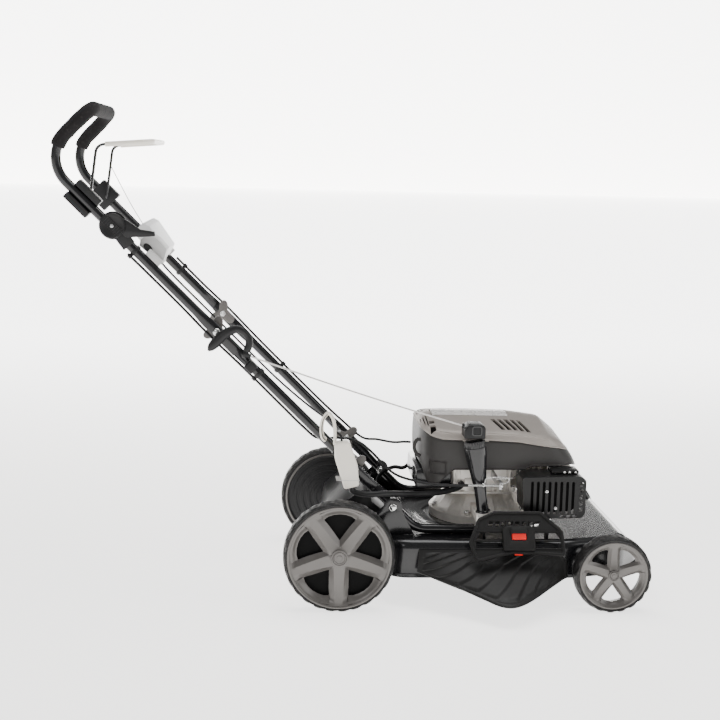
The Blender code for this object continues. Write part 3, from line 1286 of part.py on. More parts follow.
def cables():
    """Cables along the handle and across to the engine, each along its own route."""
    below = TUBE_RADIUS * CRUSH_WIDEN + CABLE_RADIUS + 2 * GAP
    above = -below
    routes = {
        "throttle_cable": (
            CABLE_RADIUS, "black_plastic",
            [(*on_handle(-0.262, below), -0.188), (*on_handle(-0.200, below), -0.184),
             (*on_handle(-0.100, below), -0.182), (*on_handle(0.0, below + 0.002), -0.181),
             (*on_handle(0.100, below), -0.181), (*on_handle(0.220, below), -0.181),
             (*on_handle(0.300, below), -0.177), (*on_handle(0.340, 0.012), -0.164),
             (*on_handle(0.375, -0.022), -0.160), (*on_handle(0.410, -0.046), -0.160),
             (*on_handle(0.450, -0.052), -0.160), (0.130, 0.293, -0.168), (0.190, 0.279, -0.192),
             (0.225, 0.2755, -0.2020), (CONTROL_START - GAP, CONTROL_Z, CONTROL_Y)]),
        "brake_cable": (
            CABLE_RADIUS, "black_plastic",
            [(*on_handle(-0.180, above), 0.181), (*on_handle(-0.080, above), 0.181),
             (*on_handle(0.0, above - 0.002), 0.181), (*on_handle(0.120, above), 0.181),
             (*on_handle(0.250, above), 0.181), (*on_handle(0.350, above - 0.001), 0.181),
             (*on_handle(0.420, above - 0.004), 0.181), (*on_handle(0.480, above - 0.010), 0.176),
             (0.115, 0.3050, 0.150), (0.150, 0.3090, 0.100), (0.176, 0.3140, 0.082),
             (SHROUD_BACK + CABLE_END, 0.3140, 0.080)]),
        "pack_lead": (
            0.0025, "black_plastic",
            [(-0.4212, 0.7774, -0.010), (-0.4266, 0.7710, -0.010), (*on_handle(-0.160, 0.0), -0.010),
             (*on_handle(-0.040, 0.0), -0.012), (*on_handle(0.080, 0.0), -0.014),
             (*on_handle(0.200, -0.002), -0.022),
             (*on_handle(0.290, -0.014), -0.060), (*on_handle(0.340, -0.030), -0.120),
             (*on_handle(0.360, -0.036), -0.175), (-0.0060, 0.3990, -0.212), (0.0015, 0.3930, -0.2220),
             (0.0030, 0.3815, -0.2225)]),
        "wiring_conduit": (
            0.0070, "black_plastic",
            [(0.0290, 0.2735, -0.2215), (0.0316, 0.2640, -0.2215), (0.0600, 0.2560, -0.2190),
             (0.1000, 0.2550, -0.2100), (0.1500, 0.2480, -0.1820), (0.1950, 0.2400, -0.1520),
             (0.2450, 0.2400, -0.1330), (0.2850, 0.2460, -0.1180), (0.2990, 0.2495, -0.1020),
             (0.3000, 0.2500, -0.0887)]),
    }
    for name, (radius, look, marks) in routes.items():
        points = smooth_route([(x, y, z) for x, z, y in marks], CABLE_STEPS)
        wire = settle(tube(name, [tuple(p) for p in points], radius, 2))
        pivot = LOWER_PIVOT if name != "wiring_conduit" else (0.0, 0.0, 0.0)
        add_piece(smooth(wire), look, pivot)


def centre_on_origin():
    """Moves the mower's frame so that the middle of its box, in plan, is the world's origin."""
    bpy.context.view_layer.update()
    graph = bpy.context.evaluated_depsgraph_get()
    corners = []
    for obj in PARTS.objects:
        if obj.type != "MESH":
            continue
        shape = obj.evaluated_get(graph)
        points = np.empty(len(shape.data.vertices) * 3)
        shape.data.vertices.foreach_get("co", points)
        turn = np.array(obj.matrix_world.to_3x3())
        points = points.reshape(-1, 3) @ turn.T + np.array(obj.matrix_world.translation)
        corners += [points.min(axis=0), points.max(axis=0)]
    middle = (np.min(corners, axis=0) + np.max(corners, axis=0)) / 2
    ROOT.location = (-float(middle[0]), -float(middle[1]), 0.0)


def main():
    for end in ("front", "rear"):
        for side in (-1, 1):
            wheel(end, side)
    axles()
    deck()
    rear_frame()
    rear_flap()
    flap_rod()
    handle_brackets()
    frame_tubes()
    lower_tubes()
    upper_handle()
    foam_grip()
    joint_knobs()
    lower_shroud()
    upper_cover()
    engine_base()
    crankcase()
    cylinder_head()
    spark_plug_boot()
    muffler()
    intake()
    fuel_tank()
    oil_filler()
    crank_train()
    blade()
    side_flap()
    side_chute()
    bail_parts()
    throttle()
    console()
    starter_pull()
    battery_pack()
    cables()
    centre_on_origin()


if __name__ == "__main__":
    main()
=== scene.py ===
"""Looks of the petrol lawn mower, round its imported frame.

Sizes are in metres in the mower's own frame: X runs forward from the rear axle, Y to the mower's
left from its centre plane, Z up from the ground. ORIGIN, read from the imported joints, takes that
frame to the row's frame when a piece's mesh is made.
"""

from __future__ import annotations

import json
import logging
import math
from dataclasses import dataclass, field
from enum import Enum

import bmesh
import bpy
import numpy as np
from mathutils import Matrix, Vector


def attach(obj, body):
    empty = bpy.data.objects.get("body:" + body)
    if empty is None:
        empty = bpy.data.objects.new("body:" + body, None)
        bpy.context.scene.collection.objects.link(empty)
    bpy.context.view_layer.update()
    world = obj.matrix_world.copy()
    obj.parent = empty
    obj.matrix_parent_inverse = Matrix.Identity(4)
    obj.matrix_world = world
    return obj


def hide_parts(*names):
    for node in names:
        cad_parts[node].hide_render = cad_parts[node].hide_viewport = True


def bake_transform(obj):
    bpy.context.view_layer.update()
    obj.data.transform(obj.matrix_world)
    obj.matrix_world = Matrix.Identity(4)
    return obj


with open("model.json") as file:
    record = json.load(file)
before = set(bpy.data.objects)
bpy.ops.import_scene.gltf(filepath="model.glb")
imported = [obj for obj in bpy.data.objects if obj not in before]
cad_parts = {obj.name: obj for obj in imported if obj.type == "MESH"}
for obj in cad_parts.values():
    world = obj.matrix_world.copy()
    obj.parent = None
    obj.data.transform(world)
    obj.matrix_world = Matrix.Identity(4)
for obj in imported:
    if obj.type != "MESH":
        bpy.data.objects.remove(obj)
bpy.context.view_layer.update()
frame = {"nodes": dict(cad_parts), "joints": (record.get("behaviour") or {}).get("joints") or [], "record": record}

LOG = logging.getLogger("petrol_lawn_mower")
EDGE_ANGLE = math.radians(32.0)
GAP = 0.0003
PIPE_SIDES = 40
PRESSED = 1.15
PIN_LINE = (-0.23, 0.2)
Point = tuple[float, float, float]
Spot = tuple[float, float]


def joint_place(name: str) -> np.ndarray:
    """Point on a packed joint's axis.

    Args:
        name: the joint's name in the record.

    Returns:
        The point in the row's frame.
    """
    return next(np.array(joint["pos_m"]) for joint in frame["joints"] if joint["name"] == name)


ORIGIN = np.array([joint_place("rear_right_wheel_spin")[0], joint_place("crank_spin")[1], 0.0])


class Side(Enum):
    """Side of the mower, with the sign of its Y."""

    RIGHT = -1
    LEFT = 1

    @property
    def word(self) -> str:
        """Side's name as the nodes spell it."""
        return self.name.lower()


class End(Enum):
    """End of the chassis that carries an axle."""

    FRONT = "front"
    REAR = "rear"


class Grain(Enum):
    """Fine relief of a finish."""

    MOULDED = "moulded"
    CAST = "cast"
    BRUSHED = "brushed"
    FOAM = "foam"
    BRAID = "braid"
    RUBBER = "rubber"


# Shapes worked out with numpy


def unit(vectors: np.ndarray) -> np.ndarray:
    """Vectors divided by their lengths."""
    return vectors / np.maximum(np.linalg.norm(vectors, axis=-1, keepdims=True), 1e-12)


def eased(value: np.ndarray | float, low: float, high: float) -> np.ndarray:
    """Step that rises as 3t² - 2t³ from 0 at low to 1 at high."""
    t = np.clip((np.asarray(value, float) - low) / (high - low), 0.0, 1.0)
    return t * t * (3.0 - 2.0 * t)


def bell(value: np.ndarray | float, width: float) -> np.ndarray:
    """Bump exp(-(v / width)²)."""
    return np.exp(-(np.asarray(value, float) / width) ** 2)


@dataclass
class Shape:
    """Points and faces of a surface."""

    points: np.ndarray
    faces: list[list[int]]

    def __add__(self, other: Shape) -> Shape:
        """Both shapes side by side in one."""
        shift = len(self.points)
        return Shape(np.vstack([self.points, other.points]),
                     self.faces + [[i + shift for i in face] for face in other.faces])

    def moved(self, place: Matrix) -> Shape:
        """Shape carried to a place, turned right side out again if the place mirrors it."""
        turn = np.array(place.to_3x3())
        return Shape(self.points @ turn.T + np.array(place.translation), self.faces).outward()

    def outward(self) -> Shape:
        """Shape whose enclosed volume, summed over its faces' fans, is positive."""
        fans = np.array([(f[0], f[i], f[i + 1]) for f in self.faces for i in range(1, len(f) - 1)])
        a, b, c = (self.points[fans[:, k]] - self.points.mean(axis=0) for k in range(3))
        if np.einsum("ij,ij->i", a, np.cross(b, c)).sum() < 0.0:
            return Shape(self.points, [face[::-1] for face in self.faces])
        return self


def total(shapes: list[Shape]) -> Shape:
    """All the shapes in one."""
    whole = shapes[0]
    for shape in shapes[1:]:
        whole = whole + shape
    return whole


def skin(rows: np.ndarray, wrap: bool = True, ring: bool = False, caps: bool = True) -> Shape:
    """Skin over a lattice of points.

    Args:
        rows: points as rows by columns by 3.
        wrap: whether each row closes on itself.
        ring: whether the last row joins the first.
        caps: whether open end rows get a flat cap.

    Returns:
        The surface, right side out where it is closed.
    """
    count, width = rows.shape[:2]
    i = np.arange(count if ring else count - 1)[:, None]
    j = np.arange(width if wrap else width - 1)[None, :]
    below, beside = (i + 1) % count, (j + 1) % width
    quads = np.stack(np.broadcast_arrays(i * width + j, i * width + beside,
                                         below * width + beside, below * width + j), axis=-1)
    faces = quads.reshape(-1, 4).tolist()
    if caps and wrap and not ring:
        faces.append(list(range(width))[::-1])
        faces.append(list(range((count - 1) * width, count * width)))
    shape = Shape(rows.reshape(-1, 3).astype(float), faces)
    return shape.outward() if wrap and (caps or ring) else shape


def full_turn(sides: int) -> np.ndarray:
    """Evenly spaced angles of one turn, from 0."""
    return np.linspace(0.0, 2.0 * np.pi, sides, endpoint=False)


def turned(profile: list[Spot] | np.ndarray, sides: int, place: Matrix = Matrix.Identity(4),
           ring: bool = False) -> Shape:
    """Profile of (radius, height) turned about Z: (r cos a, r sin a, h).

    Args:
        profile: its points as (radius, height).
        sides: points round the turn.
        place: where the turned shape goes.
        ring: whether the profile closes on itself.

    Returns:
        The turned shape.
    """
    profile = np.asarray(profile, float)
    turn = full_turn(sides)
    rows = np.stack([profile[:, :1] * np.cos(turn), profile[:, :1] * np.sin(turn),
                     np.repeat(profile[:, 1:], sides, axis=1)], axis=-1)
    return skin(rows, ring=ring).moved(place)


def place_along(start: Point, along: Point) -> Matrix:
    """Place that takes Z to a direction and the origin to a start."""
    return Matrix.Translation(start) @ Vector(along).to_track_quat("Z", "Y").to_matrix().to_4x4()


def rod(start: Point, end: Point, radius: float, sides: int = 24, edge: float = 0.0,
        end_radius: float | None = None) -> Shape:
    """Rod or cone between two points, its ends chamfered by edge.

    Args:
        start: middle of its first end.
        end: middle of its other end.
        radius: radius at the first end.
        sides: points round it.
        edge: width of the chamfers.
        end_radius: radius at the other end, where it differs.

    Returns:
        The closed rod.
    """
    along = Vector(end) - Vector(start)
    other = radius if end_radius is None else end_radius
    profile = [(0.0, 0.0), (radius - edge, 0.0), (radius, edge), (other, along.length - edge),
               (other - edge, along.length), (0.0, along.length)]
    return turned(profile, sides, place_along(start, along))


def hex_bolt(at: Point, along: Point, across: float = 0.01, height: float = 0.005,
             washer: float = 0.0085) -> Shape:
    """Six-sided head with a crowned top on its washer.

    Args:
        at: middle of the washer's seat.
        along: direction that the head points in.
        across: width across the flats.
        height: height of the head.
        washer: radius of the washer.

    Returns:
        The head and its washer.
    """
    r = across / math.sqrt(3.0)
    head = turned([(0.0, 0.001), (r, 0.001), (r, height * 0.85), (r * 0.86, height), (0.0, height)], 6)
    disc = turned([(0.0, 0.0), (washer, 0.0), (washer, 0.0011), (washer - 0.0004, 0.0015), (0.0, 0.0015)], 24)
    return (head + disc).moved(place_along(at, along))


def domed_head(at: Point, along: Point, radius: float, height: float) -> Shape:
    """Dome r sin a, h cos a with a small lip.

    Args:
        at: middle of its seat.
        along: direction that it points in.
        radius: radius of its foot.
        height: its height.

    Returns:
        The closed dome.
    """
    turn = np.linspace(0.0, 0.5 * np.pi, 7)
    arc = np.stack([radius * np.sin(turn), height * (0.2 + 0.8 * np.cos(turn))], axis=1)
    profile = np.vstack([arc, [[radius, 0.0], [0.0, 0.0]]])
    return turned(profile, 28, place_along(at, along))


class Plane(Enum):
    """Plane of a flat outline: its two axes, then the axis that it is thickened along."""

    XZ = ((1.0, 0.0, 0.0), (0.0, 0.0, 1.0), (0.0, 1.0, 0.0))
    XY = ((1.0, 0.0, 0.0), (0.0, 1.0, 0.0), (0.0, 0.0, 1.0))
    YZ = ((0.0, 1.0, 0.0), (0.0, 0.0, 1.0), (1.0, 0.0, 0.0))


def prism(outline: list[Spot] | np.ndarray, low: float, high: float, plane: Plane = Plane.XZ) -> Shape:
    """Flat outline thickened from low to high across its plane.

    Args:
        outline: its points in the plane.
        low: where it starts across the plane.
        high: where it ends.
        plane: plane that it is drawn in.

    Returns:
        The closed plate.
    """
    outline = np.asarray(outline, float)
    first, second, across = (np.array(axis) for axis in plane.value)
    flat = outline[:, :1] * first + outline[:, 1:2] * second
    return skin(np.stack([flat + across * low, flat + across * high]))


def block(low: Point, high: Point) -> Shape:
    """Box between two corners."""
    return prism([(low[0], low[2]), (high[0], low[2]), (high[0], high[2]), (low[0], high[2])],
                 low[1], high[1])


def arc(centre: Spot, radius: float, start: float, end: float, steps: int) -> list[Spot]:
    """Points of an arc in degrees, both ends included."""
    turn = np.radians(np.linspace(start, end, steps + 1))
    return [tuple(p) for p in np.stack([centre[0] + radius * np.cos(turn),
                                        centre[1] + radius * np.sin(turn)], 1)]


def rounded(points: list[Point], radii: list[float], steps: int = 8) -> np.ndarray:
    """Path whose inner corners are arcs tangent to both legs.

    Args:
        points: corners of the path.
        radii: one radius for each corner; 0 keeps it sharp.
        steps: pieces in each arc.

    Returns:
        The path's points as rows.
    """
    corners = [Vector(p) for p in points]
    path = [corners[0]]
    for before, here, after, radius in zip(corners, corners[1:], corners[2:], radii[1:]):
        back, onward = (before - here).normalized(), (after - here).normalized()
        bend = back.angle(onward)
        if radius <= 0.0 or bend > math.pi - 0.001:
            path.append(here)
            continue
        reach = radius / math.tan(bend / 2)
        middle = here + (back + onward).normalized() * (radius / math.sin(bend / 2))
        first, last = here + back * reach - middle, here + onward * reach - middle
        sweep = first.angle(last)
        for t in np.linspace(0.0, 1.0, steps + 1):
            path.append(middle + (first * math.sin((1 - t) * sweep)
                                  + last * math.sin(t * sweep)) / math.sin(sweep))
    path.append(corners[-1])
    return np.array([tuple(p) for p in path])


def evenly(path: np.ndarray, count: int, ends: bool = True) -> tuple[np.ndarray, np.ndarray]:
    """Path's points at evenly spaced runs, and those runs.

    Args:
        path: its points as rows.
        count: how many points to make.
        ends: whether the last point is among them.

    Returns:
        The points as rows, and how far along the path each one lies.
    """
    run = np.concatenate([[0.0], np.cumsum(np.linalg.norm(np.diff(path, axis=0), axis=1))])
    at = np.linspace(0.0, run[-1], count, endpoint=ends)
    return np.stack([np.interp(at, run, path[:, k]) for k in range(path.shape[1])], axis=1), at


def through(marks: list[Point], pieces: int = 8) -> np.ndarray:
    """Catmull-Rom curve through the marks: half of (2b + (c-a)t + (2a-5b+4c-d)t² + (3b-a-3c+d)t³).

    Args:
        marks: points that it runs through.
        pieces: steps between two marks.

    Returns:
        The curve's points as rows.
    """
    marks = np.asarray(marks, float)
    held = np.vstack([2 * marks[0] - marks[1], marks, 2 * marks[-1] - marks[-2]])
    t = np.linspace(0.0, 1.0, pieces, endpoint=False)[None, :, None]
    a, b, c, d = (held[k:len(held) - 3 + k][:, None, :] for k in range(4))
    curve = (2 * b + (c - a) * t + (2 * a - 5 * b + 4 * c - d) * t ** 2
             + (3 * b - a - 3 * c + d) * t ** 3) / 2
    return np.vstack([curve.reshape(-1, marks.shape[1]), marks[-1]])


def closed(corners: list[Spot], radii: float | list[float], steps: int = 5) -> np.ndarray:
    """Closed outline whose corners are arcs.

    Args:
        corners: its corners in order.
        radii: one radius for all corners, or one for each.
        steps: pieces in each arc.

    Returns:
        The outline's points as rows of two.
    """
    sizes = [float(r) for r in np.broadcast_to(radii, len(corners))]
    start = tuple((np.array(corners[0]) + np.array(corners[-1])) / 2)
    path = rounded([(*p, 0.0) for p in (start, *corners, start)], [0.0, *sizes, 0.0], steps)
    return path[:-1, :2]


def shrunk(outline: np.ndarray, distance: float) -> np.ndarray:
    """Closed outline moved to its left by a distance, each point along its own normal."""
    along = np.roll(outline, -1, axis=0) - np.roll(outline, 1, axis=0)
    return outline + unit(np.stack([-along[:, 1], along[:, 0]], axis=1)) * distance


def band(outer: np.ndarray, inner: np.ndarray, low: float, high: float, plane: Plane = Plane.XZ) -> Shape:
    """Closed ring between two outlines of as many points, from low to high across their plane.

    Args:
        outer: outer outline.
        inner: inner outline.
        low: where it starts across the plane.
        high: where it ends.
        plane: plane that both are drawn in.

    Returns:
        The closed ring.
    """
    first, second, across = (np.array(axis) for axis in plane.value)
    flat = [o[:, :1] * first + o[:, 1:2] * second for o in (np.asarray(outer), np.asarray(inner))]
    rows = [flat[0] + across * low, flat[0] + across * high, flat[1] + across * high, flat[1] + across * low]
    return skin(np.stack(rows), ring=True)


def ridged(profile: list[Spot], sides: int, place: Matrix, ridges: int, depth: float, low: float,
           high: float) -> Shape:
    """Turned profile whose radius falls by depth times a squared-off cosine of the turn between two
    heights.

    Args:
        profile: its points as (radius, height).
        sides: points round the turn.
        place: where the turned shape goes.
        ridges: number of ridges round it.
        depth: share of the radius that a gap between ridges takes away.
        low: height where the ridges start.
        high: height where they end.

    Returns:
        The ridged shape.
    """
    shape = turned(profile, sides)
    points = shape.points.copy()
    turn = np.arctan2(points[:, 1], points[:, 0])
    wave = 0.5 + 0.5 * np.tanh(3.0 * np.cos(ridges * turn))
    inside = (points[:, 2] > low) & (points[:, 2] < high)
    points[:, :2] *= (1.0 - np.where(inside, depth * wave, 0.0))[:, None]
    return Shape(points, shape.faces).moved(place)


def frames_along(path: np.ndarray) -> tuple[np.ndarray, np.ndarray]:
    """Two directions across a path that turn with it as little as they can.

    Args:
        path: points of the path as rows.

    Returns:
        The first and the second direction at each point.
    """
    tangent = unit(np.gradient(path, axis=0))
    helper = np.eye(3)[np.argmin(np.abs(tangent[0]))]
    across = unit(np.cross(tangent[0], helper))
    carried = [across]
    for t in tangent[1:]:
        across = unit(across - t * (across @ t))
        carried.append(across)
    first = np.array(carried)
    return first, np.cross(tangent, first)


def tube(path: np.ndarray, radius: float | np.ndarray, sides: int = 24, flat: float = 1.0,
         caps: bool = True) -> Shape:
    """Circle of a radius carried along a path, its second direction scaled by flat.

    Args:
        path: points of its centre line as rows.
        radius: one radius, or one for each point.
        sides: points round it.
        flat: scale of the second direction.
        caps: whether its ends are closed.

    Returns:
        The tube.
    """
    first, second = frames_along(path)
    radius = np.broadcast_to(np.asarray(radius, float), len(path))[:, None, None]
    turn = full_turn(sides)[None, :, None]
    rows = path[:, None, :] + radius * (np.cos(turn) * first[:, None, :]
                                        + flat * np.sin(turn) * second[:, None, :])
    return skin(rows, caps=caps)


def hollow_tube(path: np.ndarray, outer: float | np.ndarray, inner: float, sides: int) -> Shape:
    """Wall between two circles carried along a path.

    Args:
        path: points of its centre line as rows.
        outer: outer radius, for all of it or for each point.
        inner: radius of its bore.
        sides: points round each circle.

    Returns:
        The wall, closed at both ends.
    """
    skins = [tube(path, r, sides).points.reshape(len(path), sides, 3) for r in (outer, inner)]
    return skin(np.concatenate([skins[0], skins[1][::-1]]), ring=True)


def coil(start: Point, end: Point, radius: float, wire: float, turns: int) -> Shape:
    """Helix of a wire about the line from start to end.

    Args:
        start: where its axis starts.
        end: where its axis ends.
        radius: radius of its turns.
        wire: radius of the wire.
        turns: number of turns.

    Returns:
        The closed wire.
    """
    t = np.linspace(0.0, 1.0, turns * 14 + 1)
    turn = 2.0 * np.pi * turns * t
    length = math.dist(start, end)
    line = np.stack([radius * np.cos(turn), radius * np.sin(turn), length * t], axis=1)
    place = place_along(start, Vector(end) - Vector(start))
    return tube(line, wire, 8).moved(place)


# Finishes


@dataclass(frozen=True)
class Finish:
    """A piece's finish: its colour, gloss and fine relief, all on Object coordinates."""

    name: str
    slot: str
    colour: tuple[float, float, float]
    roughness: float
    grain: Grain = Grain.MOULDED
    metallic: float = 0.0
    coat: float = 0.0
    mottle: float = 0.1
    patch: float = 0.04
    grain_size: float = 0.0006
    relief: float = 0.00003
    smudge: float = 0.06
    dust: float = 0.0
    specular: float = 0.5

    def material(self) -> bpy.types.Material:
        """Material of this finish, made once and shared."""
        made = bpy.data.materials.get(self.name)
        if made is not None:
            return made
        material = bpy.data.materials.new(self.name)
        material.use_nodes = True
        tree = material.node_tree
        shader = tree.nodes["Principled BSDF"]
        shader.inputs["Metallic"].default_value = self.metallic
        shader.inputs["Coat Weight"].default_value = self.coat
        shader.inputs["Coat Roughness"].default_value = 0.08
        shader.inputs["Specular IOR Level"].default_value = self.specular
        place = tree.nodes.new("ShaderNodeTexCoord").outputs["Object"]
        patches = self._noise(tree, place, 1.0 / self.patch, 3.0)
        self._colour(tree, shader, place, patches)
        gloss = tree.nodes.new("ShaderNodeMapRange")
        gloss.inputs["To Min"].default_value = max(0.02, self.roughness - self.smudge)
        gloss.inputs["To Max"].default_value = self.roughness + self.smudge
        tree.links.new(self._noise(tree, place, 2.7 / self.patch, 4.0), gloss.inputs["Value"])
        tree.links.new(gloss.outputs["Result"], shader.inputs["Roughness"])
        bump = tree.nodes.new("ShaderNodeBump")
        bump.inputs["Strength"].default_value = 0.7
        bump.inputs["Distance"].default_value = self.relief
        tree.links.new(self._relief(tree, place), bump.inputs["Height"])
        tree.links.new(bump.outputs["Normal"], shader.inputs["Normal"])
        return material

    def _noise(self, tree: bpy.types.NodeTree, place: bpy.types.NodeSocket, scale: float,
               detail: float) -> bpy.types.NodeSocket:
        """Height of a noise texture at a scale.

        Args:
            tree: nodes of the material.
            place: coordinates that it is read at.
            scale: how fine it is.
            detail: how many finer layers it has.

        Returns:
            The height.
        """
        noise = tree.nodes.new("ShaderNodeTexNoise")
        noise.inputs["Scale"].default_value = scale
        noise.inputs["Detail"].default_value = detail
        tree.links.new(place, noise.inputs["Vector"])
        return noise.outputs["Fac"]

    def _colour(self, tree: bpy.types.NodeTree, shader: bpy.types.Node, place: bpy.types.NodeSocket,
                patches: bpy.types.NodeSocket) -> None:
        """Colour that varies in soft patches, with pale dust in the finer noise's peaks."""
        blend = tree.nodes.new("ShaderNodeMix")
        blend.data_type = "RGBA"
        blend.inputs["A"].default_value = (*(c * (1.0 - self.mottle) for c in self.colour), 1.0)
        blend.inputs["B"].default_value = (*(min(1.0, c * (1.0 + self.mottle)) for c in self.colour), 1.0)
        tree.links.new(patches, blend.inputs["Factor"])
        colour = blend.outputs["Result"]
        if self.dust:
            peaks = tree.nodes.new("ShaderNodeMapRange")
            peaks.inputs["From Min"].default_value = 0.52
            peaks.inputs["From Max"].default_value = 0.8
            peaks.inputs["To Max"].default_value = self.dust
            tree.links.new(self._noise(tree, place, 180.0, 6.0), peaks.inputs["Value"])
            dusted = tree.nodes.new("ShaderNodeMix")
            dusted.data_type = "RGBA"
            dusted.inputs["B"].default_value = (0.42, 0.39, 0.35, 1.0)
            tree.links.new(peaks.outputs["Result"], dusted.inputs["Factor"])
            tree.links.new(colour, dusted.inputs["A"])
            colour = dusted.outputs["Result"]
        tree.links.new(colour, shader.inputs["Base Color"])

    def _relief(self, tree: bpy.types.NodeTree, place: bpy.types.NodeSocket) -> bpy.types.NodeSocket:
        """Height that the grain gives the surface."""
        scale = 1.0 / self.grain_size
        if self.grain in (Grain.FOAM, Grain.CAST):
            cells = tree.nodes.new("ShaderNodeTexVoronoi")
            cells.inputs["Scale"].default_value = scale
            tree.links.new(place, cells.inputs["Vector"])
            return cells.outputs["Distance"]
        if self.grain is Grain.BRUSHED:
            stretch = tree.nodes.new("ShaderNodeMapping")
            stretch.inputs["Scale"].default_value = (0.04, 1.0, 1.0)
            tree.links.new(place, stretch.inputs["Vector"])
            return self._noise(tree, stretch.outputs["Vector"], scale, 2.0)
        if self.grain is Grain.BRAID:
            twist = tree.nodes.new("ShaderNodeTexWave")
            twist.bands_direction = "DIAGONAL"
            twist.inputs["Scale"].default_value = scale * 0.3
            tree.links.new(place, twist.inputs["Vector"])
            return twist.outputs["Fac"]
        return self._noise(tree, place, scale, 3.0)


ENAMEL = Finish("black_gloss_enamel", "black_enamel", (0.006, 0.006, 0.007), 0.24, coat=0.3, mottle=0.15,
                grain_size=0.004, relief=0.00004, smudge=0.05, specular=0.35)
PLASTIC = Finish("black_moulded_plastic", "black_plastic", (0.011, 0.011, 0.0115), 0.4, grain_size=0.0005,
                 relief=0.00006, mottle=0.15, smudge=0.08, specular=0.25)
GLOSS_PLASTIC = Finish("black_glossy_plastic", "black_plastic", (0.01, 0.01, 0.011), 0.2, coat=0.3,
                       grain_size=0.003, relief=0.00003, specular=0.35)
FLAP_PLASTIC = Finish("charcoal_textured_plastic", "black_plastic", (0.012, 0.0118, 0.0115), 0.46,
                      grain_size=0.0009, relief=0.00012, mottle=0.12, specular=0.22)
HOLLOW = Finish("shadow_black", "black_plastic", (0.004, 0.004, 0.004), 0.75, mottle=0.2, relief=0.00002,
                specular=0.1)
TYRE = Finish("tyre_black_rubber", "tyre_rubber", (0.01, 0.0096, 0.0096), 0.5, Grain.RUBBER, mottle=0.25,
              grain_size=0.0015, relief=0.0001, smudge=0.1, dust=0.06, specular=0.28)
RIM = Finish("taupe_grey_rim", "rim_grey", (0.11, 0.103, 0.097), 0.34, coat=0.15, mottle=0.06,
             grain_size=0.0012, relief=0.00003, metallic=0.35)
COVER = Finish("warm_grey_cover", "cover_grey", (0.3, 0.272, 0.248), 0.46, mottle=0.05, specular=0.35,
               grain_size=0.001, relief=0.00002, metallic=0.25)
PANEL = Finish("pale_grey_panel", "cover_grey", (0.52, 0.505, 0.49), 0.28, coat=0.3, mottle=0.05,
               grain_size=0.001, relief=0.00002, metallic=0.3)
SHROUD = Finish("charcoal_shroud", "shroud_dark", (0.026, 0.024, 0.023), 0.46, mottle=0.08,
                grain_size=0.0008, relief=0.00003, metallic=0.1, specular=0.35)
ALLOY = Finish("cast_engine_alloy", "cast_alloy", (0.8, 0.765, 0.715), 0.44, Grain.CAST, metallic=0.55,
               mottle=0.18, patch=0.03, grain_size=0.0011, relief=0.00012, smudge=0.1)
MUFFLER = Finish("muffler_heat_black", "black_enamel", (0.008, 0.008, 0.008), 0.36, mottle=0.15,
                 grain_size=0.0012, relief=0.00005, specular=0.25)
STEEL = Finish("bright_zinc_steel", "bright_steel", (0.64, 0.64, 0.63), 0.2, Grain.BRUSHED, metallic=1.0,
               mottle=0.08, grain_size=0.0007, relief=0.00003)
BLADE_STEEL = Finish("ground_blade_steel", "bright_steel", (0.38, 0.38, 0.385), 0.34, Grain.BRUSHED,
                     metallic=1.0, mottle=0.2, grain_size=0.0006, relief=0.00006)
FOAM = Finish("black_foam", "foam_black", (0.012, 0.011, 0.0115), 0.92, Grain.FOAM, mottle=0.2,
              grain_size=0.0016, relief=0.0003, smudge=0.05, dust=0.03, specular=0.2)
CREAM = Finish("cream_plastic", "cream_sleeve", (0.8, 0.755, 0.67), 0.38, coat=0.2, mottle=0.03,
               grain_size=0.0015, relief=0.00003)
# Pale grey plastic. On the console's near face this grey is painted shade of the pale housing.
PALE = Finish("pale_grey_plastic", "pale_grey", (0.48, 0.475, 0.47), 0.45, mottle=0.04, grain_size=0.0006,
              relief=0.00004)
# Whiter copy of the pale grey, used only on the console's body. The extra whiteness is painted light on the
# housing's lit top.
LIT_PALE = Finish("white_grey_plastic", "pale_grey", (0.8, 0.8, 0.8), 0.45, mottle=0.03, grain_size=0.0006,
               relief=0.00004)
KNOB = Finish("taupe_knob_plastic", "knob_grey", (0.11, 0.102, 0.096), 0.42, mottle=0.08, relief=0.00005)
RED = Finish("signal_red_plastic", "signal_red", (0.72, 0.018, 0.012), 0.3, coat=0.3, mottle=0.05,
             relief=0.00002)
ROPE = Finish("white_braided_rope", "rope_white", (0.7, 0.68, 0.66), 0.75, Grain.BRAID, mottle=0.12,
              patch=0.006, grain_size=0.0009, relief=0.0003)


# Pieces


def mesh_of(name: str, shape: Shape) -> bpy.types.Object:
    """Linked mesh object of a shape, its doubles merged, in the row's frame.

    Args:
        name: the object's name.
        shape: the shape in the mower's frame.

    Returns:
        The object.
    """
    mesh = bpy.data.meshes.new(name)
    mesh.from_pydata((shape.points + ORIGIN).tolist(), [], shape.faces)
    work = bmesh.new()
    work.from_mesh(mesh)
    bmesh.ops.remove_doubles(work, verts=work.verts, dist=0.000003)
    bmesh.ops.dissolve_degenerate(work, edges=work.edges, dist=0.000001)
    work.to_mesh(mesh)
    work.free()
    obj = bpy.data.objects.new(name, mesh)
    bpy.context.scene.collection.objects.link(obj)
    return obj


def round_edges(obj: bpy.types.Object, width: float, segments: int = 2) -> None:
    """Gives an object a bevel on every edge past EDGE_ANGLE.

    Args:
        obj: the object.
        width: width of the bevel.
        segments: its pieces.
    """
    edge = obj.modifiers.new("edge", "BEVEL")
    edge.width = width
    edge.segments = segments
    edge.limit_method = "ANGLE"
    edge.angle_limit = EDGE_ANGLE


def settle(obj: bpy.types.Object) -> None:
    """Turns an object's modifiers, if it has any, into its mesh."""
    if obj.modifiers:
        bpy.context.view_layer.update()
        made = bpy.data.meshes.new_from_object(obj.evaluated_get(bpy.context.evaluated_depsgraph_get()))
        obj.modifiers.clear()
        obj.data = made


